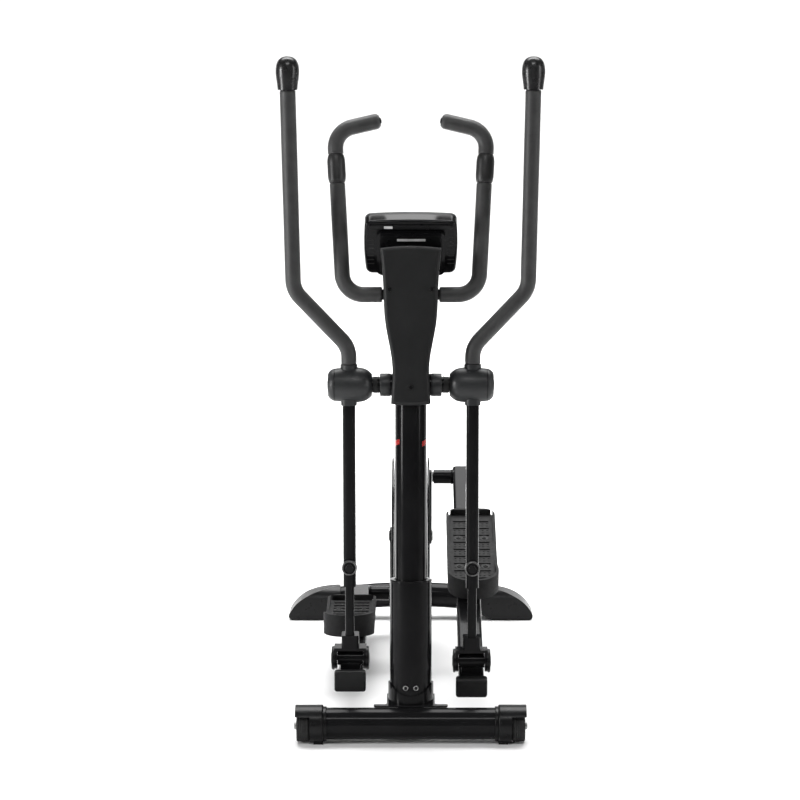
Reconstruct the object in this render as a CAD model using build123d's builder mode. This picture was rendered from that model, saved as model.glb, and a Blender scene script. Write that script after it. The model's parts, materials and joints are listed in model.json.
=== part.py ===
from build123d import *
from math import atan2, cos, hypot, radians, sin, sqrt
import os

# Elliptical trainer with rear drive. Millimetres. +Z is up, the front faces -Y,
# +X is the right-hand side seen from the front. The origin is on the floor, under
# the middle of the machine.

os.makedirs("parts", exist_ok=True)

# ---------------------------------------------------------------- driving sizes
FRONT_Y = -655.0  # centre of the front stabilizer tube
REAR_Y = 655.0  # centre of the rear stabilizer tube
FRONT_TUBE_R = 37.0
FRONT_TUBE_Z = 44.0
FRONT_TUBE_HALF = 222.0
FRONT_CAP_IN = 203.0
FRONT_CAP_OUT = 234.0
FRONT_CAP_R = 44.0
WHEEL_IN = 235.0
WHEEL_OUT = 265.0
WHEEL_R = 36.0
WHEEL_Z = 39.0
FENDER_OUT = 268.0
FENDER_R = 40.5  # inside radius of the guard over each wheel
WHEEL_AXLE_R = 5.0

BEAM_HALF_W = 30.0
BEAM_BOTTOM = 33.0
BEAM_TOP = 81.0
TUBE_WALL = 2.5

POST_LEAN = 4.0  # degrees, towards the user
POST_FOOT_Y = -585.0
POST_FOOT_Z = 85.0
STUB_R = 49.0
STUB_BORE_R = 45.5
STUB_TOP = 280.0  # heights with no Z in the name run along the leaning post
POST_R = 37.0
POST_BOTTOM = 150.0
POST_TOP = 1045.0

PIVOT_H = 738.6  # lever axle, along the post
AXLE_R = 10.0
CROSS_TUBE_R = 25.5
CROSS_TUBE_HALF = 72.0
HUB_IN = 90.0
HUB_OUT = 176.0
HUB_R = 25.0
BUSH_R = 15.0
RUNNING_FIT = 0.05  # radial clearance of every pin, axle and bush that turns
FIT = 0.05  # radial clearance of fixed fits

LEVER_X = 144.0  # centre plane of each lever, to left and right
LEVER_LENGTH = 655.0  # pivot axle to lower joint
LEVER_W = 30.0
LEVER_D = 50.0
HANDLE_R = 14.0
GRIP_R = 18.2

CRANK_Y = 390.0
CRANK_Z = 287.0
CRANK_R = 172.0
CRANK_ANGLE = 12.0  # right crank arm, degrees forward of straight up
DISC_IN = 45.5
CRANK_IN = 51.0
CRANK_OUT = 57.0
BAR_X = 143.0
BAR_W = 60.0
BAR_H = 40.0
BAR_DROP = 45.0  # pedal bar centre line below the lower lever joint
LINK_LENGTH = 945.0  # lower lever joint to crank pin
PEDAL_X = 155.0
PEDAL_W = 127.0
PEDAL_L = 400.0

FLYWHEEL_Y = 128.0
FLYWHEEL_Z = 215.0
FLYWHEEL_R = 105.0
PULLEY_R = 125.0
SMALL_PULLEY_R = 21.0
HOUSING_REAR_R = 215.0
HOUSING_FRONT_R = 125.0
HOUSING_HALF_W = 44.0
HOUSING_BOTTOM = 100.0
HOUSING_WALL = 3.0
HOUSING_EDGE = 14.0
PLATE_IN = 30.0
PLATE_OUT = 34.0

RIGHT = 1
LEFT = -1

# ------------------------------------------------------------------ rest position
LEAN = radians(POST_LEAN)
POST = Plane(origin=(0, POST_FOOT_Y, POST_FOOT_Z), x_dir=(1, 0, 0), z_dir=(0, sin(LEAN), cos(LEAN)))
PIVOT_Y = POST_FOOT_Y + PIVOT_H * sin(LEAN)
PIVOT_Z = POST_FOOT_Z + PIVOT_H * cos(LEAN)
BAR_LENGTH = sqrt(LINK_LENGTH**2 - BAR_DROP**2)


def crank_pin_point(side):
    """Y and Z of the crank pin at rest."""
    turn = radians(CRANK_ANGLE)
    return CRANK_Y - side * CRANK_R * sin(turn), CRANK_Z + side * CRANK_R * cos(turn)


def lever_angle(side):
    """Swing of a lever at rest, so that its lower joint is one link from the crank pin."""
    pin_y, pin_z = crank_pin_point(side)
    down_y = pin_y - PIVOT_Y
    down_z = PIVOT_Z - pin_z
    reach = hypot(down_y, down_z)
    cosine = (reach**2 + LEVER_LENGTH**2 - LINK_LENGTH**2) / (2 * reach * LEVER_LENGTH)
    return atan2(down_y, down_z) - atan2(sqrt(1 - cosine**2), cosine)


def joint_point(side):
    """Y and Z of the lower lever joint at rest."""
    swing = lever_angle(side)
    return PIVOT_Y + LEVER_LENGTH * sin(swing), PIVOT_Z - LEVER_LENGTH * cos(swing)


def lever_plane(side):
    """Plane through the pivot axle, its normal up along the lever."""
    swing = lever_angle(side)
    return Plane(origin=(0, PIVOT_Y, PIVOT_Z), x_dir=(1, 0, 0), z_dir=(0, -sin(swing), cos(swing)))


def bar_plane(side):
    """Plane through the crank pin, its Y running back along the pedal bar."""
    pin_y, pin_z = crank_pin_point(side)
    joint_y, joint_z = joint_point(side)
    tilt = atan2(pin_z - joint_z, pin_y - joint_y) + atan2(BAR_DROP, BAR_LENGTH)
    return Plane(origin=(0, pin_y, pin_z), x_dir=(1, 0, 0), z_dir=(0, -sin(tilt), cos(tilt)))


def across(plane, x, y=0.0, z=0.0):
    """Plane whose normal is +X, its centre at a local point of another plane."""
    return Plane(origin=plane.from_local_coords((x, y, z)), x_dir=plane.y_dir, z_dir=(1, 0, 0))


def upright(plane, y=0.0):
    """Plane whose sketches lie in the X-Z directions of another plane."""
    return Plane(origin=plane.from_local_coords((0, y, 0)), x_dir=(1, 0, 0), z_dir=-plane.y_dir)


def save(part, name):
    """Write one named piece."""
    part.label = name
    export_step(part, f"parts/{name}.step")


def save_group(parts, name):
    """Write several alike solids as one named piece."""
    save(Compound(children=list(parts)), name)


def rod(plane, x_from, x_to, radius, y=0.0, z=0.0, mode=Mode.ADD):
    """Round bar along X at a local point of a plane."""
    start = across(plane, min(x_from, x_to), y, z)
    with BuildSketch(start) as disc:
        Circle(radius)
    extrude(disc.sketch, amount=abs(x_to - x_from), mode=mode)


def block(plane, x_from, x_to, y_from, y_to, z_from, z_to, mode=Mode.ADD):
    """Rectangular block between local coordinates of a plane."""
    with BuildSketch(plane.offset(z_from)) as base:
        with Locations(((x_from + x_to) / 2, (y_from + y_to) / 2)):
            Rectangle(abs(x_to - x_from), abs(y_to - y_from))
    extrude(base.sketch, amount=z_to - z_from, mode=mode)


def tube_along(plane, corners, bend, radius, bore):
    """Round tube swept along a bent line drawn in the X-Z directions of a plane."""
    with BuildLine(upright(plane)) as centre:
        FilletPolyline(*corners, radius=bend)
    start = Plane(origin=centre.line @ 0, z_dir=centre.line % 0)
    with BuildSketch(start) as section:
        Circle(radius)
        Circle(bore, mode=Mode.SUBTRACT)
    sweep(section.sketch, path=centre.line)


CRANK = Plane(origin=(0, CRANK_Y, CRANK_Z), x_dir=(1, 0, 0), z_dir=(0, 0, 1))
FLYWHEEL = Plane(origin=(0, FLYWHEEL_Y, FLYWHEEL_Z), x_dir=(1, 0, 0), z_dir=(0, 0, 1))
FRONT = Plane(origin=(0, FRONT_Y, FRONT_TUBE_Z), x_dir=(1, 0, 0), z_dir=(0, 0, 1))
WHEEL = Plane(origin=(0, FRONT_Y, WHEEL_Z), x_dir=(1, 0, 0), z_dir=(0, 0, 1))

# -------------------------------------------------------------------- floor frame
REAR_TUBE_R = 35.0
REAR_ARCH_Z = 66.0
REAR_TIP_X = 245.0
REAR_TIP_Z = 47.0
FOOT_HALF_D = 44.0


def rear_tube(radius):
    """Solid bar along the arched centre line of the rear stabilizer."""
    with BuildPart() as bar:
        with BuildLine() as arch:
            ThreePointArc(
                (-REAR_TIP_X, REAR_Y, REAR_TIP_Z),
                (0, REAR_Y, REAR_ARCH_Z),
                (REAR_TIP_X, REAR_Y, REAR_TIP_Z),
            )
        with BuildSketch(Plane(origin=arch.line @ 0, z_dir=arch.line % 0)):
            Circle(radius)
        sweep(path=arch.line)
    return bar.part


REAR_CORE = rear_tube(REAR_TUBE_R)

with BuildPart() as rear_stabilizer:
    add(REAR_CORE)
    add(rear_tube(REAR_TUBE_R - TUBE_WALL), mode=Mode.SUBTRACT)
save(rear_stabilizer.part, "rear_stabilizer")

with BuildPart() as main_beam:
    with BuildSketch(Plane.XZ.offset(-REAR_Y)):
        with Locations((0, (BEAM_TOP + BEAM_BOTTOM) / 2)):
            RectangleRounded(2 * BEAM_HALF_W, BEAM_TOP - BEAM_BOTTOM, 6)
            RectangleRounded(
                2 * (BEAM_HALF_W - TUBE_WALL),
                BEAM_TOP - BEAM_BOTTOM - 2 * TUBE_WALL,
                3.5,
                mode=Mode.SUBTRACT,
            )
    extrude(amount=REAR_Y - FRONT_Y)
    rod(FRONT, -BEAM_HALF_W - 1, BEAM_HALF_W + 1, FRONT_TUBE_R, mode=Mode.SUBTRACT)
    add(REAR_CORE, mode=Mode.SUBTRACT)
    # nothing is left above the round tubes at either end
    block(Plane.XY, -32, 32, FRONT_Y - 40, FRONT_Y + 28, 30, 84, mode=Mode.SUBTRACT)
    block(Plane.XY, -32, 32, REAR_Y - 21, REAR_Y + 40, 30, 84, mode=Mode.SUBTRACT)
save(main_beam.part, "main_beam")

with BuildPart() as front_stabilizer:
    rod(FRONT, -FRONT_TUBE_HALF, FRONT_TUBE_HALF, FRONT_TUBE_R)
    rod(FRONT, -FRONT_TUBE_HALF, FRONT_TUBE_HALF, FRONT_TUBE_R - TUBE_WALL, mode=Mode.SUBTRACT)
save(front_stabilizer.part, "front_stabilizer")


def front_end_cap(side):
    """Moulded cap over one tube end, with a flat foot and a hole for the wheel bolt."""
    with BuildPart() as cap:
        rod(FRONT, side * FRONT_CAP_IN, side * FRONT_CAP_OUT, FRONT_CAP_R)
        rims = cap.edges().filter_by(GeomType.CIRCLE).sort_by(Axis.X)
        fillet(rims[0] if side > 0 else rims[-1], 4)
        foot = side * (FRONT_CAP_IN + FRONT_CAP_OUT - 8) / 2
        block(Plane.XY, foot - 11, foot + 11, FRONT_Y - 23, FRONT_Y + 23, 0, 30)
        # guard over the wheel, open at the front, rear and below
        rod(FRONT, side * (FRONT_CAP_OUT - 6), side * FENDER_OUT, FRONT_CAP_R)
        rod(FRONT, side * FRONT_CAP_OUT, side * FENDER_OUT, FENDER_R, mode=Mode.SUBTRACT)
        block(
            FRONT,
            side * FRONT_CAP_OUT,
            side * FENDER_OUT,
            -FRONT_CAP_R - 1,
            FRONT_CAP_R + 1,
            -FRONT_CAP_R - 1,
            FRONT_CAP_R * 0.55,
            mode=Mode.SUBTRACT,
        )
        rod(FRONT, side * FRONT_CAP_IN, side * FRONT_TUBE_HALF, FRONT_TUBE_R + FIT, mode=Mode.SUBTRACT)
        rod(WHEEL, side * FRONT_TUBE_HALF, side * FRONT_CAP_OUT, WHEEL_AXLE_R + FIT, mode=Mode.SUBTRACT)
    return cap.part


save_group((front_end_cap(LEFT), front_end_cap(RIGHT)), "front_end_caps")


def wheel_bolt(side):
    """Shoulder bolt that carries one transport wheel."""
    with BuildPart() as bolt:
        rod(WHEEL, side * (FRONT_TUBE_HALF - 8), side * (WHEEL_OUT + 1.5), WHEEL_AXLE_R)
        rod(WHEEL, side * (WHEEL_OUT + 0.5), side * (WHEEL_OUT + 4.5), 9)
        rod(WHEEL, side * (FRONT_TUBE_HALF - 8), side * FRONT_TUBE_HALF, 8.5)
    return bolt.part


save_group((wheel_bolt(LEFT), wheel_bolt(RIGHT)), "wheel_axles")


def transport_wheel(side):
    """Solid roller with a dished outer face."""
    with BuildPart() as wheel:
        rod(WHEEL, side * WHEEL_IN, side * WHEEL_OUT, WHEEL_R)
        fillet(wheel.edges().filter_by(GeomType.CIRCLE), 3)
        rod(WHEEL, side * (WHEEL_OUT - 4), side * WHEEL_OUT, WHEEL_R - 9, mode=Mode.SUBTRACT)
        rod(WHEEL, side * (WHEEL_OUT - 5), side * WHEEL_OUT, 11)
        rod(WHEEL, side * WHEEL_IN, side * WHEEL_OUT, WHEEL_AXLE_R + RUNNING_FIT, mode=Mode.SUBTRACT)
    return wheel.part


save(transport_wheel(LEFT), "wheel_left")
save(transport_wheel(RIGHT), "wheel_right")


def rear_foot_cap(side):
    """Moulded foot with a rounded back that tapers from the tube end down to the floor."""
    with BuildPart() as cap:
        with BuildSketch(Plane.XZ.offset(-REAR_Y)):
            with BuildLine():
                Line((side * 232, 0), (side * 200, 16))
                Line((side * 200, 16), (side * 200, 93))
                Spline(
                    (side * 200, 93),
                    (side * 292, 69),
                    (side * 344, 18),
                    tangents=[(side, -0.1), (side * 0.5, -1)],
                )
                ThreePointArc((side * 344, 18), (side * 343, 5), (side * 334, 0))
                Line((side * 334, 0), (side * 232, 0))
            make_face()
        extrude(amount=FOOT_HALF_D, both=True)
        with BuildSketch(Plane.YZ.offset(side * 190)):
            with BuildLine():
                ThreePointArc((REAR_Y - FOOT_HALF_D, 26), (REAR_Y, 94), (REAR_Y + FOOT_HALF_D, 26))
                Polyline(
                    (REAR_Y + FOOT_HALF_D, 26),
                    (REAR_Y + FOOT_HALF_D, 0),
                    (REAR_Y - FOOT_HALF_D, 0),
                    (REAR_Y - FOOT_HALF_D, 26),
                )
            make_face()
        extrude(amount=side * 160, mode=Mode.INTERSECT)
        add(rear_tube(REAR_TUBE_R + FIT), mode=Mode.SUBTRACT)
    return cap.part


save_group((rear_foot_cap(LEFT), rear_foot_cap(RIGHT)), "rear_foot_caps")

# ---------------------------------------------------------------------- main post
SADDLE_R = 53.0
SADDLE_TOP = 40.0
EAR_HALF_W = 86.0  # the base plate is wide only over the front tube
EAR_FRONT = POST_FOOT_Y - 66
EAR_BACK = POST_FOOT_Y - 50
PLATE_HALF_W = 56.0
PLATE_BACK = POST_FOOT_Y + 50
BASE_BOLT_X = 12.0
BASE_BOLT_H = 34.0
BASE_BOLT_R = 5.0

with BuildPart() as base_saddle:
    block(Plane.XY, -EAR_HALF_W, EAR_HALF_W, EAR_FRONT, EAR_BACK, BEAM_TOP, POST_FOOT_Z)
    block(Plane.XY, -PLATE_HALF_W, PLATE_HALF_W, EAR_FRONT, PLATE_BACK, BEAM_TOP, POST_FOOT_Z)
    fillet(base_saddle.edges().filter_by(Axis.Z), 6)
    with BuildSketch(POST.offset(-8)):
        Circle(SADDLE_R)
        Circle(STUB_R + FIT, mode=Mode.SUBTRACT)
    extrude(amount=SADDLE_TOP + 8)
    block(
        Plane.XY,
        -EAR_HALF_W,
        EAR_HALF_W,
        EAR_FRONT - SADDLE_R,
        PLATE_BACK + SADDLE_R,
        BEAM_TOP - 30,
        BEAM_TOP,
        mode=Mode.SUBTRACT,
    )
    # the collar dips at the front and back and rises at the sides
    with BuildSketch(upright(POST, 90)):
        with Locations((0, 75)):
            Circle(60)
    extrude(amount=180, mode=Mode.SUBTRACT)
save(base_saddle.part, "base_saddle")

with BuildPart() as post_stub:
    with BuildSketch(POST.offset(-8)):
        Circle(STUB_R)
        Circle(STUB_BORE_R, mode=Mode.SUBTRACT)
    extrude(amount=STUB_TOP + 8)
    # rolled lip that grips the upper post
    with BuildSketch(POST.offset(STUB_TOP - 12)):
        Circle(STUB_BORE_R + 1)
        Circle(POST_R + FIT, mode=Mode.SUBTRACT)
    extrude(amount=12)
    fillet(post_stub.edges().filter_by(GeomType.CIRCLE).sort_by(Axis.Z)[-2:], 2)
    block(Plane.XY, -60, 60, POST_FOOT_Y - 60, POST_FOOT_Y + 60, 60, POST_FOOT_Z, mode=Mode.SUBTRACT)
    with BuildSketch(upright(POST, -20)):
        with Locations((-BASE_BOLT_X, BASE_BOLT_H), (BASE_BOLT_X, BASE_BOLT_H)):
            Circle(BASE_BOLT_R + FIT)
    extrude(amount=40, mode=Mode.SUBTRACT)
save(post_stub.part, "post_stub")


def dome_bolt(plane, y, x, z, shank_r, head_r, length):
    """Round-headed bolt that points back along +Y from a local point of a plane."""
    with BuildPart() as bolt:
        with BuildSketch(upright(plane, y)):
            with Locations((x, z)):
                Circle(head_r)
        extrude(amount=head_r * 0.55)
        tips = bolt.faces().filter_by(GeomType.PLANE).sort_by(Axis(plane.origin, tuple(plane.y_dir)))
        fillet(tips[0].edges(), head_r * 0.5)
        with BuildSketch(upright(plane, y + length)):
            with Locations((x, z)):
                Circle(shank_r)
        extrude(amount=length)
    return bolt.part


save_group(
    [
        dome_bolt(POST, -STUB_R, x, BASE_BOLT_H, BASE_BOLT_R, 7, 18)
        for x in (-BASE_BOLT_X, BASE_BOLT_X)
    ],
    "base_bolts",
)

CONSOLE_TILT = 60.0  # display normal, degrees back from straight up
CONSOLE_W = 217.0
CONSOLE_H = 150.0
CONSOLE_BACK = -22.0
CONSOLE_BULGE = -34.0
CONSOLE_SEAM = 6.0
CONSOLE_FACE = 20.0
CONSOLE = Plane(
    origin=(0, -488, 1150),
    x_dir=(1, 0, 0),
    z_dir=(0, sin(radians(CONSOLE_TILT)), cos(radians(CONSOLE_TILT))),
)
BULGE_W = 158.0
BULGE_H = 118.0
BULGE_Y = 10.0


def console_outline(inset, corner):
    """Outline of the console, its edges bowed and its upper edge arched."""
    half_w = CONSOLE_W / 2 - inset
    half_h = CONSOLE_H / 2 - inset
    with BuildLine() as outline:
        ThreePointArc((-half_w + 3, -half_h + 4), (0, -half_h), (half_w - 3, -half_h + 4))
        ThreePointArc((half_w - 3, -half_h + 4), (half_w, 10), (half_w - 5, half_h - 2))
        ThreePointArc((half_w - 5, half_h - 2), (0, half_h), (-half_w + 5, half_h - 2))
        ThreePointArc((-half_w + 5, half_h - 2), (-half_w, 10), (-half_w + 3, -half_h + 4))
    shape = make_face(outline.edges())
    fillet(shape.vertices(), corner)


def console_room():
    """Space cleared for the console in the parts below it."""
    with BuildPart() as room:
        with BuildSketch(CONSOLE.offset(CONSOLE_BACK - 0.4)):
            RectangleRounded(CONSOLE_W + 2, CONSOLE_H + 2, 18)
        extrude(amount=90)
        with BuildSketch(CONSOLE.offset(CONSOLE_BULGE - 0.4)):
            with Locations((0, BULGE_Y)):
                RectangleRounded(BULGE_W + 2, BULGE_H + 2, 14)
        extrude(amount=40)
    return room.part


CONSOLE_ROOM = console_room()

HANDLEBAR_Z = 1031.0
HANDLEBAR_TILT = 12.0  # fixed handlebar, degrees towards the user
HANDLEBAR_R = 12.5
HANDLEBAR = Plane(
    origin=(0, POST_FOOT_Y + (HANDLEBAR_Z - POST_FOOT_Z) * sin(LEAN) / cos(LEAN), HANDLEBAR_Z),
    x_dir=(1, 0, 0),
    z_dir=(0, sin(radians(HANDLEBAR_TILT)), cos(radians(HANDLEBAR_TILT))),
)

with BuildPart() as upper_post:
    with BuildSketch(POST.offset(POST_BOTTOM)):
        Circle(POST_R)
    extrude(amount=POST_TOP - POST_BOTTOM)
    rod(POST, -CROSS_TUBE_HALF, CROSS_TUBE_HALF, CROSS_TUBE_R, z=PIVOT_H)
    with BuildSketch(POST.offset(POST_BOTTOM)):
        Circle(POST_R - TUBE_WALL)
    extrude(amount=POST_TOP - POST_BOTTOM, mode=Mode.SUBTRACT)
    # the cross tube runs right through the post
    rod(POST, -CROSS_TUBE_HALF, CROSS_TUBE_HALF, CROSS_TUBE_R, z=PIVOT_H)
    rod(POST, -CROSS_TUBE_HALF, CROSS_TUBE_HALF, AXLE_R + FIT, z=PIVOT_H, mode=Mode.SUBTRACT)
    rod(HANDLEBAR, -POST_R - 5, POST_R + 5, HANDLEBAR_R + FIT, mode=Mode.SUBTRACT)
    add(CONSOLE_ROOM, mode=Mode.SUBTRACT)
save(upper_post.part, "upper_post")

# -------------------------------------------------------------------- lever pivot
AXLE_END = 182.0


def axle_nut(side):
    """Flanged nut that keeps a lever on the axle."""
    with BuildPart() as nut:
        rod(POST, side * (HUB_OUT + 0.5), side * (HUB_OUT + 2.5), 18, z=PIVOT_H)
        rod(POST, side * (HUB_OUT + 2.5), side * (AXLE_END - 1), 14, z=PIVOT_H)
        rod(POST, side * (HUB_OUT + 0.4), side * AXLE_END, AXLE_R + FIT, z=PIVOT_H, mode=Mode.SUBTRACT)
    return nut.part


with BuildPart() as pivot_rod:
    rod(POST, -AXLE_END, AXLE_END, AXLE_R, z=PIVOT_H)
save_group((pivot_rod.part, axle_nut(LEFT), axle_nut(RIGHT)), "pivot_axle")


def pivot_bushing(side):
    """Flanged bush between the cross tube and the lever hub."""
    with BuildPart() as bush:
        rod(POST, side * (CROSS_TUBE_HALF + 0.1), side * (HUB_IN - 0.3), 18.5, z=PIVOT_H)
        rod(POST, side * (HUB_IN - 0.3), side * HUB_OUT, BUSH_R, z=PIVOT_H)
        rod(POST, side * CROSS_TUBE_HALF, side * HUB_OUT, AXLE_R + FIT, z=PIVOT_H, mode=Mode.SUBTRACT)
    return bush.part


save_group((pivot_bushing(LEFT), pivot_bushing(RIGHT)), "pivot_bushings")

# --------------------------------------------------------------------- post covers
COVER_BOTTOM = 697.0
COVER_TOP = 1057.0
COVER_FRONT = 56.0
COVER_REAR = 50.0
COVER_WALL = 3.5
COVER_EDGE = 9.0


def cover_outline(inset):
    """Waisted outline of the post cover, seen from the front."""
    foot = COVER_BOTTOM + inset
    head = COVER_TOP - inset
    with BuildLine() as outline:
        right = Spline(
            (46 - inset, foot),
            (43.5 - inset, 792),
            (59.5 - inset, 888),
            (63 - inset, 950),
            (71 - inset, head),
            tangents=[(-0.05, 1), (0.12, 1)],
        )
        left = mirror(right, about=Plane.YZ)
        ThreePointArc(right @ 1, (0, head + 5), left @ 1)
        ThreePointArc(right @ 0, (0, foot - 4), left @ 0)
    make_face(outline.edges())


def post_cover(depth, side):
    """Half of the cover: side -1 is the front half, side +1 the rear half."""
    with BuildPart() as cover:
        with BuildSketch(upright(POST)):
            cover_outline(0)
        extrude(amount=-side * depth)
        back = Axis(POST.origin, tuple(POST.y_dir * side))
        fillet(cover.faces().filter_by(GeomType.PLANE).sort_by(back)[-1].edges(), COVER_EDGE)
        with BuildSketch(upright(POST)):
            cover_outline(COVER_WALL)
        extrude(amount=-side * (depth - COVER_WALL), mode=Mode.SUBTRACT)
        # the foot of the cover is open around the post
        with BuildSketch(POST.offset(COVER_BOTTOM - 10)):
            Circle(POST_R + 1)
        extrude(amount=30, mode=Mode.SUBTRACT)
        rod(POST, -80, 80, CROSS_TUBE_R + 0.4, z=PIVOT_H, mode=Mode.SUBTRACT)
        rod(HANDLEBAR, -90, 90, HANDLEBAR_R + 1, mode=Mode.SUBTRACT)
        add(CONSOLE_ROOM, mode=Mode.SUBTRACT)
        # hairline gap where the halves meet
        block(POST, -90, 90, -0.05, 0.05, COVER_BOTTOM - 20, COVER_TOP + 20, mode=Mode.SUBTRACT)
    # loose scraps beside the console are dropped
    return cover.part.solids().sort_by(SortBy.VOLUME)[-1]


save(post_cover(COVER_REAR, 1), "rear_cover")

SCREW_R = 2.5
COVER_SCREWS = ((-49, 962), (49, 962), (0, 735))

with BuildPart() as front_cover:
    add(post_cover(COVER_FRONT, -1))
    with BuildSketch(upright(POST, -COVER_FRONT + COVER_WALL + 1)):
        with Locations(*COVER_SCREWS):
            Circle(SCREW_R + FIT)
    extrude(amount=COVER_WALL + 2, mode=Mode.SUBTRACT)
save(front_cover.part, "front_cover")

# ---------------------------------------------------------------- fixed handlebar
BAR_TIP = (72.0, 409.0)
BAR_CORNERS = ((178.0, 384.0), (157.0, 0.0))
BAR_BEND = 50.0
SENSOR_FROM = 262.0
SENSOR_TO = 328.0
SENSOR_R = 21.0
GRIP_START = 66.0


def bar_x(height):
    """Distance of the upright part of the handlebar from the middle, at a height."""
    low_x, low_h = BAR_CORNERS[1]
    high_x, high_h = BAR_CORNERS[0]
    return low_x + (high_x - low_x) * (height - low_h) / (high_h - low_h)


def mirrored(points, side):
    """The same points on the left or right."""
    return [(side * x, h) for x, h in points]


with BuildPart() as fixed_handlebar:
    right_half = [BAR_TIP, *BAR_CORNERS]
    left_half = mirrored(reversed(right_half), LEFT)
    tube_along(HANDLEBAR, [*right_half, *left_half], BAR_BEND, HANDLEBAR_R, HANDLEBAR_R - 1.5)
save(fixed_handlebar.part, "fixed_handlebar")


def inner_grip(side):
    """Foam over one side of the fixed handlebar, in two lengths either side of the sensor."""
    with BuildPart() as lower:
        foot = [(GRIP_START, 0.0), BAR_CORNERS[1], (bar_x(SENSOR_FROM - 1), SENSOR_FROM - 1)]
        tube_along(HANDLEBAR, mirrored(foot, side), BAR_BEND, GRIP_R, HANDLEBAR_R + 0.2)
    with BuildPart() as upper:
        head = [(bar_x(SENSOR_TO + 1), SENSOR_TO + 1), BAR_CORNERS[0], BAR_TIP]
        tube_along(HANDLEBAR, mirrored(head, side), BAR_BEND, GRIP_R, HANDLEBAR_R + 0.2)
    return lower.part, upper.part


save_group(inner_grip(LEFT), "inner_grip_left")
save_group(inner_grip(RIGHT), "inner_grip_right")


def pulse_sensor(side):
    """Plastic sleeve with the hand-pulse contacts."""
    with BuildPart() as sleeve:
        ends = [(bar_x(SENSOR_FROM), SENSOR_FROM), (bar_x(SENSOR_TO), SENSOR_TO)]
        low, high = mirrored(ends, side)
        foot = HANDLEBAR.from_local_coords((low[0], 0, low[1]))
        head = HANDLEBAR.from_local_coords((high[0], 0, high[1]))
        along = Plane(origin=foot, z_dir=head - foot)
        length = (head - foot).length
        section = Plane(origin=foot, x_dir=along.x_dir, z_dir=-along.y_dir)
        with BuildSketch(section) as half:
            with BuildLine():
                Line((HANDLEBAR_R + FIT, 0), (GRIP_R - 0.6, 0))
                Spline(
                    (GRIP_R - 0.6, 0),
                    (SENSOR_R, length / 2),
                    (GRIP_R - 0.6, length),
                    tangents=[(0.5, 1), (-0.5, 1)],
                )
                Line((GRIP_R - 0.6, length), (HANDLEBAR_R + FIT, length))
                Line((HANDLEBAR_R + FIT, length), (HANDLEBAR_R + FIT, 0))
            make_face()
        revolve(half.sketch, axis=Axis(foot, along.z_dir))
    return sleeve.part


save_group((pulse_sensor(LEFT), pulse_sensor(RIGHT)), "pulse_sensors")

# ------------------------------------------------------------------------ console
WINDOW_W = 130.0
WINDOW_H = 70.0
WINDOW_Y = -14.0
BUTTON_Y = 50.0
BUTTON_R = 10.0

with BuildPart() as console_back:
    with BuildSketch(CONSOLE.offset(CONSOLE_BACK)):
        console_outline(0, 16)
    extrude(amount=CONSOLE_SEAM - CONSOLE_BACK)
    fillet(console_back.faces().sort_by(Axis(CONSOLE.origin, CONSOLE.z_dir))[0].edges(), 7)
    with BuildSketch(CONSOLE.offset(CONSOLE_BULGE)):
        with Locations((0, BULGE_Y)):
            RectangleRounded(BULGE_W, BULGE_H, 13)
    extrude(amount=CONSOLE_BACK - CONSOLE_BULGE + 4)
    with BuildSketch(CONSOLE.offset(CONSOLE_BACK + 3)):
        console_outline(3, 13)
    extrude(amount=60, mode=Mode.SUBTRACT)
save(console_back.part, "console_back")

with BuildPart() as console_bezel:
    with BuildSketch(CONSOLE.offset(CONSOLE_SEAM + 0.1)):
        console_outline(0, 16)
    extrude(amount=CONSOLE_FACE - CONSOLE_SEAM - 0.1)
    fillet(console_bezel.faces().sort_by(Axis(CONSOLE.origin, CONSOLE.z_dir))[-1].edges(), 6)
    with BuildSketch(CONSOLE.offset(CONSOLE_FACE - 3)):
        with Locations((0, WINDOW_Y)):
            RectangleRounded(WINDOW_W, WINDOW_H, 5)
    extrude(amount=3, mode=Mode.SUBTRACT)
    with BuildSketch(CONSOLE.offset(CONSOLE_SEAM)):
        with Locations((0, BUTTON_Y)):
            Circle(BUTTON_R + 0.35)
    extrude(amount=CONSOLE_FACE, mode=Mode.SUBTRACT)
save(console_bezel.part, "console_bezel")

with BuildPart() as console_window:
    with BuildSketch(CONSOLE.offset(CONSOLE_FACE - 2.9)):
        with Locations((0, WINDOW_Y)):
            RectangleRounded(WINDOW_W - 0.4, WINDOW_H - 0.4, 4.8)
    extrude(amount=2.6)
save(console_window.part, "console_window")

with BuildPart() as mode_button:
    with BuildSketch(CONSOLE.offset(CONSOLE_SEAM + 3)):
        with Locations((0, BUTTON_Y)):
            Circle(BUTTON_R)
    extrude(amount=CONSOLE_FACE - CONSOLE_SEAM)
    fillet(mode_button.faces().sort_by(Axis(CONSOLE.origin, CONSOLE.z_dir))[-1].edges(), 1.5)
save(mode_button.part, "mode_button")

# ----------------------------------------------------------------- swinging levers
HANDLE_CORNERS = ((144.0, 88.0), (272.0, 222.0))
HANDLE_TOP = (283.0, 740.0)
HANDLE_BEND = 60.0
CAP_BOTTOM = 682.0
GRIP_FOOT = 50.0
LEVER_BOTTOM = -478.0
CLAMP_H = -430.0
CLAMP_R = 4.0
INSERT_W = 21.0
INSERT_D = 38.0
FORK_CROWN = -633.0
CHEEK_IN = 105.0
CHEEK_OUT = 112.0
CHEEK_R = 26.0
JOINT_R = 7.0
INSERT_BOTTOM = -626.0
INSERT_TOP = -418.0
CHEEK_FAR = 2 * BAR_X - CHEEK_IN  # outer face of the outer cheek
CHEEK_HALF_D = 23.0


def handle_x(height):
    """Distance of the straight upper handle from the middle, at a height above the pivot."""
    low_x, low_h = HANDLE_CORNERS[1]
    high_x, high_h = HANDLE_TOP
    return low_x + (high_x - low_x) * (height - low_h) / (high_h - low_h)


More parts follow.
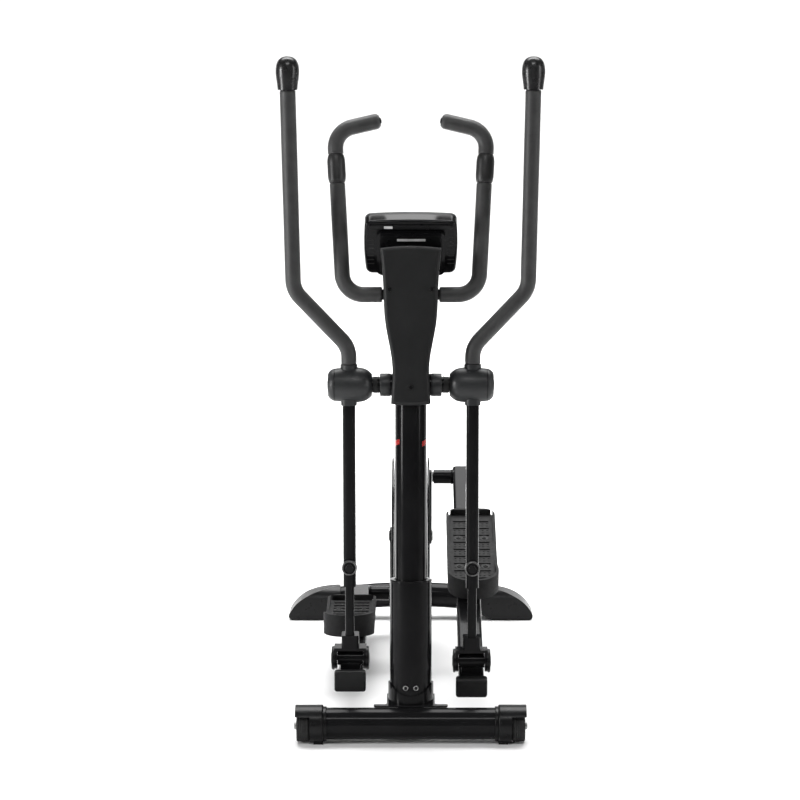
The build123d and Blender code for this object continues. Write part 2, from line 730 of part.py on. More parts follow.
def handle_tube(side):
    """Bent steel tube from the pivot hub up to the end cap."""
    plane = lever_plane(side)
    with BuildPart() as tube:
        corners = [(LEVER_X, 12.0), *HANDLE_CORNERS, (handle_x(CAP_BOTTOM + 30), CAP_BOTTOM + 30)]
        tube_along(plane, mirrored(corners, side), HANDLE_BEND, HANDLE_R, HANDLE_R - 1.5)
        rod(plane, side * 110, side * 180, HUB_R + FIT, mode=Mode.SUBTRACT)
    return tube.part


def handle_grip(side):
    """Foam over the whole handle above the pivot cover."""
    with BuildPart() as grip:
        corners = [(LEVER_X, GRIP_FOOT), *HANDLE_CORNERS, (handle_x(CAP_BOTTOM - 1), CAP_BOTTOM - 1)]
        tube_along(lever_plane(side), mirrored(corners, side), HANDLE_BEND, GRIP_R, HANDLE_R + 0.3)
    return grip.part


def handle_cap(side):
    """Mushroom-shaped plastic cap on top of the handle."""
    plane = lever_plane(side)
    x = side * handle_x(CAP_BOTTOM)
    with BuildPart() as cap:
        with BuildSketch(upright(plane)):
            with BuildLine():
                Line((x, CAP_BOTTOM), (x + 22.5, CAP_BOTTOM))
                Line((x + 22.5, CAP_BOTTOM), (x + 23, CAP_BOTTOM + 6))
                Spline(
                    (x + 23, CAP_BOTTOM + 6),
                    (x + 26.8, CAP_BOTTOM + 46),
                    (x, CAP_BOTTOM + 76),
                    tangents=[(0.12, 1), (-1, 0)],
                )
                Line((x, CAP_BOTTOM + 76), (x, CAP_BOTTOM))
            make_face()
        axis_foot = plane.from_local_coords((x, 0, CAP_BOTTOM))
        revolve(axis=Axis(axis_foot, plane.z_dir))
        with BuildSketch(plane.offset(CAP_BOTTOM)):
            with Locations((x, 0)):
                Circle(HANDLE_R + 0.8)
        extrude(amount=31, mode=Mode.SUBTRACT)
    return cap.part


def pivot_cover(side):
    """Barrel-shaped plastic cover over the lever hub, with a collar above and below."""
    plane = lever_plane(side)
    with BuildPart() as cover:
        with BuildSketch(upright(plane)):
            with BuildLine():
                Line((side * 90.5, 0), (side * 90.5, 26))
                Spline(
                    (side * 90.5, 26),
                    (side * 104, 36.5),
                    (side * 141, 41),
                    (side * 178, 38),
                    tangents=[(side, 1), (side, -0.12)],
                )
                ThreePointArc((side * 178, 38), (side * 187, 34), (side * 193, 26))
                Line((side * 193, 26), (side * 193, 0))
                Line((side * 193, 0), (side * 90.5, 0))
            make_face()
        revolve(axis=Axis(plane.origin, (1, 0, 0)))
        with BuildSketch(plane.offset(30)):
            with Locations((side * LEVER_X, 0)):
                Circle(20)
        extrude(amount=18)
        with BuildSketch(plane.offset(-46)):
            with Locations((side * LEVER_X, 0)):
                RectangleRounded(LEVER_W + 7, LEVER_D + 7, 15)
        extrude(amount=16)
        # grooved ring on the flat outer face
        with BuildSketch(across(plane, side * 193 - 1.5)):
            Circle(21)
            Circle(18, mode=Mode.SUBTRACT)
        extrude(amount=3, mode=Mode.SUBTRACT)
        rod(plane, side * 88, side * 103, HUB_R + FIT, mode=Mode.SUBTRACT)
        rod(plane, side * 103, side * 182, 31, mode=Mode.SUBTRACT)
        with BuildSketch(plane.offset(15)):
            with Locations((side * LEVER_X, 0)):
                Circle(HANDLE_R + FIT)
        extrude(amount=40, mode=Mode.SUBTRACT)
        with BuildSketch(plane.offset(-50)):
            with Locations((side * LEVER_X, 0)):
                RectangleRounded(LEVER_W + 2 * FIT, LEVER_D + 2 * FIT, 12)
        extrude(amount=35, mode=Mode.SUBTRACT)
    return cover.part


def lever_tube(side):
    """Flat-sided tube below the pivot, welded to the hub that turns on the axle."""
    plane = lever_plane(side)
    with BuildPart() as tube:
        with BuildSketch(plane.offset(LEVER_BOTTOM)):
            with Locations((side * LEVER_X, 0)):
                RectangleRounded(LEVER_W, LEVER_D, 12)
                RectangleRounded(LEVER_W - 4, LEVER_D - 4, 10, mode=Mode.SUBTRACT)
        extrude(amount=-LEVER_BOTTOM - 10)
        rod(plane, side * HUB_IN, side * HUB_OUT, HUB_R)
        rod(plane, side * (HUB_IN - 1), side * (HUB_OUT + 1), BUSH_R + RUNNING_FIT, mode=Mode.SUBTRACT)
        with BuildSketch(upright(plane, 40)):
            with Locations((side * LEVER_X, CLAMP_H)):
                Circle(CLAMP_R + FIT)
        extrude(amount=80, mode=Mode.SUBTRACT)
    return tube.part


def lever_fork(side):
    """Lower end of the lever: an insert in the tube, a block and a two-cheek fork."""
    plane = lever_plane(side)
    with BuildPart() as fork:
        with BuildSketch(plane.offset(INSERT_BOTTOM)):
            with Locations((side * LEVER_X, 0)):
                RectangleRounded(INSERT_W, INSERT_D, 6)
        extrude(amount=INSERT_TOP - INSERT_BOTTOM)
        with BuildSketch(plane.offset(FORK_CROWN + 3)):
            with Locations((side * BAR_X, 0)):
                RectangleRounded(41, 46, 7)
        extrude(amount=34)
        front = -CHEEK_HALF_D
        rear = CHEEK_HALF_D
        crown_top = FORK_CROWN + CHEEK_OUT - CHEEK_IN
        block(plane, side * CHEEK_IN, side * CHEEK_FAR, front, rear, FORK_CROWN, crown_top)
        for inner in (CHEEK_IN, 2 * BAR_X - CHEEK_OUT):
            outer = inner + CHEEK_OUT - CHEEK_IN
            block(plane, side * inner, side * outer, front, rear, -LEVER_LENGTH, crown_top)
            rod(plane, side * inner, side * outer, CHEEK_R, z=-LEVER_LENGTH)
        rod(
            plane,
            side * (CHEEK_IN - 1),
            side * (CHEEK_FAR + 1),
            JOINT_R + FIT,
            z=-LEVER_LENGTH,
            mode=Mode.SUBTRACT,
        )
        with BuildSketch(upright(plane, 40)):
            with Locations((side * LEVER_X, CLAMP_H)):
                Circle(CLAMP_R + FIT)
        extrude(amount=80, mode=Mode.SUBTRACT)
    return fork.part


def clamp_bolt(side):
    """Bolt that clamps the insert, with a round capped head at the front."""
    plane = lever_plane(side)
    face = -LEVER_D / 2 - 0.1
    with BuildPart() as bolt:
        with BuildSketch(upright(plane, face)):
            with Locations((side * LEVER_X, CLAMP_H)):
                Circle(18)
                Circle(CLAMP_R, mode=Mode.SUBTRACT)
        extrude(amount=5)
        with BuildSketch(upright(plane, face - 5)):
            with Locations((side * LEVER_X, CLAMP_H)):
                Circle(18)
                Circle(13.5, mode=Mode.SUBTRACT)
        extrude(amount=2.5)
        with BuildSketch(upright(plane, face - 4)):
            with Locations((side * LEVER_X, CLAMP_H)):
                RegularPolygon(9, 6)
        extrude(amount=7)
        with BuildSketch(upright(plane, LEVER_D / 2 + 7)):
            with Locations((side * LEVER_X, CLAMP_H)):
                Circle(CLAMP_R)
        extrude(amount=LEVER_D + 10)
        with BuildSketch(upright(plane, LEVER_D / 2 + 6)):
            with Locations((side * LEVER_X, CLAMP_H)):
                RegularPolygon(7.5, 6)
        extrude(amount=5.9)
    return bolt.part


def joint_pin(side):
    """Pin of the lower lever joint, with a round cap over each cheek."""
    plane = lever_plane(side)
    with BuildPart() as pin:
        rod(plane, side * (CHEEK_IN - 3), side * (CHEEK_FAR + 3), JOINT_R, z=-LEVER_LENGTH)
        rod(plane, side * (CHEEK_IN - 5.6), side * (CHEEK_IN - 0.1), 28, z=-LEVER_LENGTH)
        rod(plane, side * (CHEEK_FAR + 0.1), side * (CHEEK_FAR + 6.5), 28, z=-LEVER_LENGTH)
        rims = pin.edges().filter_by(GeomType.CIRCLE).filter_by(lambda edge: edge.radius > 27)
        rims = rims.sort_by(Axis.X)
        fillet([rims[0], rims[-1]], 3)
    return pin.part


# ---------------------------------------------------------------------- pedal bars
SLEEVE_R = 19.0
SLEEVE_IN = 61.0
CRANK_PIN_R = 8.0
BARREL_R = 17.0
BAR_FRONT = -BAR_LENGTH - 45.0
BAR_CAP_FRONT = -BAR_LENGTH - 53.0


def pedal_bar(side):
    """Long tube from the lever fork back to the crank, with a bearing tube at each end."""
    plane = bar_plane(side)
    with BuildPart() as bar:
        with BuildSketch(upright(plane, 24)):
            with Locations((side * BAR_X, 0)):
                RectangleRounded(BAR_W, BAR_H, 9)
                RectangleRounded(BAR_W - 4, BAR_H - 4, 7, mode=Mode.SUBTRACT)
        extrude(amount=24 - BAR_FRONT)
        rod(plane, side * SLEEVE_IN, side * (BAR_X + BAR_W / 2), SLEEVE_R)
        rod(plane, side * 113, side * 173, BARREL_R, -BAR_LENGTH, BAR_DROP)
        block(plane, side * 120, side * 166, -BAR_LENGTH - 14, -BAR_LENGTH + 14, BAR_H / 2 - 1.5, BAR_DROP)
        rod(
            plane,
            side * 110,
            side * 176,
            JOINT_R + RUNNING_FIT,
            -BAR_LENGTH,
            BAR_DROP,
            mode=Mode.SUBTRACT,
        )
        rod(plane, side * 60, side * 175, CRANK_PIN_R + FIT, mode=Mode.SUBTRACT)
    return bar.part


def crank_pin(side):
    """Pin in the rear bearing tube, headed on the outside, reaching in to the crank arm."""
    plane = bar_plane(side)
    with BuildPart() as pin:
        rod(plane, side * (CRANK_OUT + 0.6), side * (BAR_X + BAR_W / 2 + 4), CRANK_PIN_R)
        rod(plane, side * (BAR_X + BAR_W / 2 + 0.2), side * (BAR_X + BAR_W / 2 + 7), 13)
        rod(plane, side * (CRANK_OUT + 0.6), side * (SLEEVE_IN - 0.2), 14)
    return pin.part


def bar_end_cap(side):
    """Plastic cap over the front end of the pedal bar."""
    plane = bar_plane(side)
    with BuildPart() as cap:
        with BuildSketch(upright(plane, -BAR_LENGTH - 34)):
            with Locations((side * BAR_X, 0)):
                RectangleRounded(74, 50, 7)
        extrude(amount=-BAR_LENGTH - 34 - BAR_CAP_FRONT)
        ahead = Axis(plane.origin, tuple(plane.y_dir))
        fillet(cap.faces().sort_by(ahead)[0].edges(), 4)
        with BuildSketch(upright(plane, -BAR_LENGTH - 30)):
            with Locations((side * BAR_X, 0)):
                RectangleRounded(BAR_W + 2 * FIT, BAR_H + 2 * FIT, 9)
        extrude(amount=15.1, mode=Mode.SUBTRACT)
    return cap.part


PEDAL_FRONT = -650.0
PEDAL_FLOOR = 27.0
RIB_COUNT = 9


def pedal(side):
    """Foot tray with a raised rim, a high rounded toe wall and tread ribs."""
    plane = bar_plane(side)
    rear = PEDAL_FRONT + PEDAL_L
    with BuildPart() as tray:
        with BuildSketch(plane.offset(PEDAL_FLOOR)) as outline:
            with Locations((side * PEDAL_X, PEDAL_FRONT + PEDAL_L / 2)):
                Rectangle(PEDAL_W, PEDAL_L)
            toe = outline.vertices().group_by(Axis.Y)[0]
            fillet(toe, 52)
            heel = outline.vertices().group_by(Axis.Y)[-1]
            fillet(heel, 30)
        extrude(amount=58)
        # the rim is low along the sides and heel and climbs to the toe
        with BuildSketch(across(plane, side * PEDAL_X - PEDAL_W, 0, 0)):
            with BuildLine():
                Polyline(
                    (PEDAL_FRONT - 5, 90),
                    (PEDAL_FRONT - 5, 82),
                    (PEDAL_FRONT + 30, 82),
                )
                Spline(
                    (PEDAL_FRONT + 30, 82),
                    (PEDAL_FRONT + 110, 54),
                    (rear + 5, 50),
                    tangents=[(1, 0), (1, 0)],
                )
                Polyline((rear + 5, 50), (rear + 5, 90), (PEDAL_FRONT - 5, 90))
            make_face()
        extrude(amount=2 * PEDAL_W, mode=Mode.SUBTRACT)
        with BuildSketch(plane.offset(PEDAL_FLOOR + 9)) as hollow:
            with Locations((side * PEDAL_X, PEDAL_FRONT + PEDAL_L / 2)):
                Rectangle(PEDAL_W - 14, PEDAL_L - 14)
            toe = hollow.vertices().group_by(Axis.Y)[0]
            fillet(toe, 45)
        extrude(amount=60, mode=Mode.SUBTRACT)
        for rib in range(RIB_COUNT):
            y = PEDAL_FRONT + 82 + rib * 34
            middle = side * PEDAL_X
            block(plane, middle - 46, middle + 46, y, y + 8, PEDAL_FLOOR + 8, PEDAL_FLOOR + 11.5)
        mount = PEDAL_FRONT + PEDAL_L / 2
        block(plane, side * 118, side * 168, mount - 120, mount + 120, BAR_H / 2 + 0.1, PEDAL_FLOOR + 1)
    return tray.part


for side, word in ((LEFT, "left"), (RIGHT, "right")):
    save(handle_tube(side), f"{word}_handle_tube")
    save(handle_grip(side), f"{word}_handle_grip")
    save(handle_cap(side), f"{word}_handle_cap")
    save(pivot_cover(side), f"{word}_pivot_cover")
    save(lever_tube(side), f"{word}_lever_tube")
    save(lever_fork(side), f"{word}_lever_fork")
    save(clamp_bolt(side), f"{word}_clamp_bolt")
    save(joint_pin(side), f"{word}_joint_pin")
    save(pedal_bar(side), f"{word}_pedal_bar")
    save(crank_pin(side), f"{word}_crank_pin")
    save(bar_end_cap(side), f"{word}_bar_cap")
    save(pedal(side), f"{word}_pedal")

# -------------------------------------------------------------------------- drive
BEARING_R = 21.0
BEARING_IN = 28.0
BEARING_OUT = 40.0
BELT_IN = 10.0
BELT_OUT = 24.0
FLY_AXLE_R = 6.0
FLY_AXLE_END = 40.0
DISC_R = 213.0
NUT_OUT = 60.4
AXLE_FACE = 59.0


def crank_arm(side):
    """Flat steel crank arm with a threaded hole for the pin."""
    pin_y, pin_z = crank_pin_point(side)
    with BuildPart() as arm:
        with BuildSketch(across(CRANK, side * CRANK_IN if side > 0 else -CRANK_OUT)):
            with Locations((0, 0)):
                Circle(23)
            with Locations((pin_y - CRANK_Y, pin_z - CRANK_Z)):
                Circle(19)
            make_hull()
        extrude(amount=CRANK_OUT - CRANK_IN)
        rod(CRANK, side * CRANK_IN, side * CRANK_OUT, AXLE_R + FIT, mode=Mode.SUBTRACT)
        rod(
            CRANK,
            side * CRANK_IN,
            side * CRANK_OUT,
            CRANK_PIN_R,
            pin_y - CRANK_Y,
            pin_z - CRANK_Z,
            mode=Mode.SUBTRACT,
        )
    return arm.part


save_group((crank_arm(LEFT), crank_arm(RIGHT)), "crank_arms")


def crank_disc(side):
    """Round plastic cover that turns with the crank arm in front of it."""
    with BuildPart() as disc:
        rod(CRANK, side * DISC_IN, side * (CRANK_IN - 0.1), DISC_R)
        fillet(disc.faces().filter_by(Axis.X).sort_by(Axis.X)[-1 if side > 0 else 0].edges(), 3)
        rod(CRANK, side * (CRANK_IN - 2), side * CRANK_IN, DISC_R - 10, mode=Mode.SUBTRACT)
        rod(CRANK, side * DISC_IN, side * (CRANK_IN - 0.1), 32)
        rod(CRANK, side * DISC_IN, side * CRANK_IN, AXLE_R + FIT, mode=Mode.SUBTRACT)
    return disc.part


save_group((crank_disc(LEFT), crank_disc(RIGHT)), "crank_discs")


def crank_nut(side):
    """Low nut that holds a crank arm on the axle."""
    with BuildPart() as nut:
        with BuildSketch(across(CRANK, side * (CRANK_OUT + 0.1) if side > 0 else -NUT_OUT)):
            RegularPolygon(15, 6)
        extrude(amount=NUT_OUT - CRANK_OUT - 0.1)
        rod(CRANK, side * CRANK_OUT, side * (AXLE_FACE + 0.1), AXLE_R + FIT, mode=Mode.SUBTRACT)
    return nut.part


with BuildPart() as crank_shaft:
    rod(CRANK, -AXLE_FACE, AXLE_FACE, AXLE_R)
    rod(CRANK, -BEARING_IN + 0.2, -BELT_OUT - 0.2, 14)
    rod(CRANK, -BELT_IN + 0.2, BEARING_IN - 0.2, 14)
save_group((crank_shaft.part, crank_nut(LEFT), crank_nut(RIGHT)), "crank_axle")


def belt_wheel(radius, hub, bore):
    """Flat-belt wheel with a thin web between rim and hub."""
    rod(CRANK, -BELT_OUT, -BELT_IN, radius)
    rod(CRANK, -BELT_OUT, -BELT_OUT + 4, radius - 9, mode=Mode.SUBTRACT)
    rod(CRANK, -BELT_IN - 4, -BELT_IN, radius - 9, mode=Mode.SUBTRACT)
    rod(CRANK, -BELT_OUT, -BELT_IN, hub)
    rod(CRANK, -BELT_OUT, -BELT_IN, bore, mode=Mode.SUBTRACT)


with BuildPart() as drive_pulley:
    belt_wheel(PULLEY_R, 24, AXLE_R + FIT)
    with BuildSketch(across(CRANK, -BELT_OUT)):
        with PolarLocations(72, 6):
            Circle(24)
    extrude(amount=BELT_OUT - BELT_IN, mode=Mode.SUBTRACT)
save(drive_pulley.part, "drive_pulley")

with BuildPart() as flywheel:
    rod(FLYWHEEL, -2, 22, FLYWHEEL_R)
    rod(FLYWHEEL, 16, 22, FLYWHEEL_R - 16, mode=Mode.SUBTRACT)
    rod(FLYWHEEL, -2, 4, FLYWHEEL_R - 16, mode=Mode.SUBTRACT)
    rod(FLYWHEEL, -BELT_OUT, -BELT_IN, SMALL_PULLEY_R)
    rod(FLYWHEEL, -BELT_OUT - 2, 25, 17)
    rod(FLYWHEEL, -BELT_OUT - 3, 26, FLY_AXLE_R + RUNNING_FIT, mode=Mode.SUBTRACT)
save(flywheel.part, "flywheel")

with BuildPart() as flywheel_axle:
    rod(FLYWHEEL, -FLY_AXLE_END, FLY_AXLE_END, FLY_AXLE_R)
    rod(FLYWHEEL, PLATE_OUT + 0.1, FLY_AXLE_END - 2, 10)
    rod(FLYWHEEL, -FLY_AXLE_END + 2, -PLATE_OUT - 0.1, 10)
save(flywheel_axle.part, "flywheel_axle")


def two_circle_hull(plane, big_r, small_r):
    """Outline that wraps a circle on the crank axle and one on the flywheel axle."""
    with BuildSketch(plane) as outline:
        with Locations((CRANK_Y, CRANK_Z)):
            Circle(big_r)
        with Locations((FLYWHEEL_Y, FLYWHEEL_Z)):
            Circle(small_r)
        make_hull()
    return outline.sketch


with BuildPart() as drive_belt:
    start = Plane.YZ.offset(-BELT_OUT + 2)
    width = BELT_OUT - BELT_IN - 4
    extrude(two_circle_hull(start, PULLEY_R + 3.3, SMALL_PULLEY_R + 3.3), amount=width)
    extrude(
        two_circle_hull(start, PULLEY_R + 0.3, SMALL_PULLEY_R + 0.3),
        amount=width,
        mode=Mode.SUBTRACT,
    )
save(drive_belt.part, "drive_belt")


def crank_bearing(side):
    """Ball bearing, drawn as one ring."""
    with BuildPart() as bearing:
        rod(CRANK, side * BEARING_IN, side * BEARING_OUT, BEARING_R)
        rod(CRANK, side * BEARING_IN, side * BEARING_OUT, AXLE_R + RUNNING_FIT, mode=Mode.SUBTRACT)
    return bearing.part


save_group((crank_bearing(LEFT), crank_bearing(RIGHT)), "crank_bearings")

HOUSING_SCREWS = ((150, 125), (70, 285), (492, 150))


def drive_plate(side):
    """Steel side plate from the beam up to the crank bearing and flywheel axle."""
    with BuildPart() as plate:
        with BuildSketch(Plane.YZ.offset(PLATE_IN if side > 0 else -PLATE_OUT)):
            with BuildLine():
                Polyline((96, 45), (470, 45), (424, 290), (356, 290), (104, 228), (96, 45))
            make_face()
            with Locations((CRANK_Y, CRANK_Z)):
                Circle(36)
            with Locations((FLYWHEEL_Y, FLYWHEEL_Z)):
                Circle(26)
            with Locations((268, 150)):
                Circle(46, mode=Mode.SUBTRACT)
            with Locations((370, 150)):
                Circle(34, mode=Mode.SUBTRACT)
        extrude(amount=PLATE_OUT - PLATE_IN)
        rod(CRANK, side * BEARING_IN, side * BEARING_OUT, BEARING_R + 6)
        rod(CRANK, side * (BEARING_IN - 1), side * (BEARING_OUT + 1), BEARING_R + FIT, mode=Mode.SUBTRACT)
        rod(FLYWHEEL, side * (PLATE_IN - 1), side * (PLATE_OUT + 1), FLY_AXLE_R + FIT, mode=Mode.SUBTRACT)
    return plate.part


save_group((drive_plate(LEFT), drive_plate(RIGHT)), "drive_plates")


def housing_form(side, inset, past_middle):
    """Solid half of the housing shape, set in from the outer skin by a distance."""
    reach = HOUSING_HALF_W - inset
    start = Plane.YZ.offset(-past_middle if side > 0 else -reach)
    with BuildPart() as form:
        outline = two_circle_hull(start, HOUSING_REAR_R - inset, HOUSING_FRONT_R - inset)
        extrude(outline, amount=reach + past_middle)
        flats = form.faces().filter_by(Axis.X).sort_by(Axis.X)
        fillet(flats[-1 if side > 0 else 0].edges(), HOUSING_EDGE - inset)
    return form.part


def housing_shell(side):
    """Half of the drive housing, open at the foot where it sits over the beam."""
    with BuildPart() as shell:
        add(housing_form(side, 0, -0.1))
        add(housing_form(side, HOUSING_WALL, 1), mode=Mode.SUBTRACT)
        block(Plane.XY, -70, 70, -20, 640, 0, HOUSING_BOTTOM, mode=Mode.SUBTRACT)
        rod(CRANK, side * 35, side * 60, 17, mode=Mode.SUBTRACT)
        with BuildSketch(Plane.YZ.offset(side * 60)):
            with Locations(*HOUSING_SCREWS):
                Circle(SCREW_R + FIT)
        extrude(amount=-side * 24, mode=Mode.SUBTRACT)
    return shell.part


save(housing_shell(LEFT), "housing_left")
save(housing_shell(RIGHT), "housing_right")


def housing_screw(side, y, z):
    """Round-headed screw through the side of the housing."""
    with BuildPart() as screw:
        with BuildSketch(Plane.YZ.offset(side * (HOUSING_HALF_W + 0.1))):
            with Locations((y, z)):
                Circle(5)
        extrude(amount=side * 0.8)
        with BuildSketch(Plane.YZ.offset(side * (HOUSING_HALF_W + 0.5))):
            with Locations((y, z)):
                Circle(SCREW_R)
        extrude(amount=-side * 9)
    return screw.part


screws = [dome_bolt(POST, -COVER_FRONT - 0.1, x, h, SCREW_R, 5, 12) for x, h in COVER_SCREWS]
screws += [housing_screw(side, y, z) for side in (LEFT, RIGHT) for y, z in HOUSING_SCREWS]
save_group(screws, "casing_screws")
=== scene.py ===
import json
import math
import random

import bmesh
import bpy
from mathutils import Matrix, Vector, noise


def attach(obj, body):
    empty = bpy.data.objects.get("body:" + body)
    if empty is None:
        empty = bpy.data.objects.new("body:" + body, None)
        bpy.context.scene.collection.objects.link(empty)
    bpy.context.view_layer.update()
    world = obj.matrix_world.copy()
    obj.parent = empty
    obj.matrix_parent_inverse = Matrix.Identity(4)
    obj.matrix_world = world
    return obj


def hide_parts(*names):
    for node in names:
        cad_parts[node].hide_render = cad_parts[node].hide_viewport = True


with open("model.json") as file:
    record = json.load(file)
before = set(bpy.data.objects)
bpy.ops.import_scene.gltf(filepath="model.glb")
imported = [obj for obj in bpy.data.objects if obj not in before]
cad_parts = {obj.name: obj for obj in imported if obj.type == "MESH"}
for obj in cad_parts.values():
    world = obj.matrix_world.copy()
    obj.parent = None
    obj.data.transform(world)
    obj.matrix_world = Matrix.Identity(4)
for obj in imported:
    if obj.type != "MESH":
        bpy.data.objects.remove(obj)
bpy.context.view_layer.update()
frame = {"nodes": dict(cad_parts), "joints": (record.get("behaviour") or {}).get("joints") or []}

NODES = frame["nodes"]
RNG = random.Random(7)
MM = 0.001
ON_AXIS = 1e-7  # a profile radius below this is a single point
SIDES = ((-1, "left"), (1, "right"))


# ------------------------------------------------------------------ materials
def grain(nodes, links, coord, scale, detail=4.0, rough=0.55):
    """Noise texture in the object's own space."""
    tex = nodes.new("ShaderNodeTexNoise")
    tex.inputs["Scale"].default_value = scale
    tex.inputs["Detail"].default_value = detail
    tex.inputs["Roughness"].default_value = rough
    links.new(coord, tex.inputs["Vector"])
    return tex


def ramp(nodes, links, factor, stops):
    """Colour ramp through a list of (place, colour)."""
    node = nodes.new("ShaderNodeValToRGB")
    elements = node.color_ramp.elements
    while len(elements) < len(stops):
        elements.new(0.5)
    for element, (place, colour) in zip(elements, stops):
        element.position = place
        element.color = (*colour, 1.0)
    links.new(factor, node.inputs["Fac"])
    return node


def spread(nodes, links, factor, low, high):
    """Remaps a factor to a range."""
    node = nodes.new("ShaderNodeMapRange")
    node.inputs["From Min"].default_value = 0.25
    node.inputs["From Max"].default_value = 0.75
    node.inputs["To Min"].default_value = low
    node.inputs["To Max"].default_value = high
    links.new(factor, node.inputs["Value"])
    return node


def surface(name, dark, light, rough, patch=9.0, bumps=(), metallic=0.0, coat=0.0, specular=0.5,
            stretch=(1, 1, 1), sheen=0.0, voronoi=None):
    """Procedural finish: a base colour that drifts, uneven roughness, and bumps at given scales."""
    mat = bpy.data.materials.new(name)
    mat.use_nodes = True
    nodes, links = mat.node_tree.nodes, mat.node_tree.links
    shader = nodes["Principled BSDF"]
    place = nodes.new("ShaderNodeTexCoord")
    mapping = nodes.new("ShaderNodeMapping")
    mapping.inputs["Scale"].default_value = stretch
    links.new(place.outputs["Object"], mapping.inputs["Vector"])
    coord = mapping.outputs["Vector"]
    drift = grain(nodes, links, coord, patch, 5.0)
    colour = ramp(nodes, links, drift.outputs["Fac"], [(0.3, dark), (0.72, light)])
    links.new(colour.outputs["Color"], shader.inputs["Base Color"])
    wear = grain(nodes, links, coord, patch * 4.3, 6.0, 0.65)
    roughness = spread(nodes, links, wear.outputs["Fac"], rough[0], rough[1])
    links.new(roughness.outputs["Result"], shader.inputs["Roughness"])
    shader.inputs["Metallic"].default_value = metallic
    shader.inputs["Specular IOR Level"].default_value = specular
    shader.inputs["Coat Weight"].default_value = coat
    shader.inputs["Coat Roughness"].default_value = 0.06
    if sheen:
        shader.inputs["Sheen Weight"].default_value = sheen
        shader.inputs["Sheen Roughness"].default_value = 0.55
    normal = None
    heights = []
    for scale, strength, depth in bumps:
        heights.append((grain(nodes, links, coord, scale, 3.0).outputs["Fac"], strength, depth))
    if voronoi:
        cells = nodes.new("ShaderNodeTexVoronoi")
        cells.inputs["Scale"].default_value = voronoi[0]
        links.new(coord, cells.inputs["Vector"])
        heights.append((cells.outputs["Distance"], voronoi[1], voronoi[2]))
    for height, strength, depth in heights:
        bump = nodes.new("ShaderNodeBump")
        bump.inputs["Strength"].default_value = strength
        bump.inputs["Distance"].default_value = depth
        links.new(height, bump.inputs["Height"])
        if normal:
            links.new(normal, bump.inputs["Normal"])
        normal = bump.outputs["Normal"]
    if normal:
        links.new(normal, shader.inputs["Normal"])
    return mat


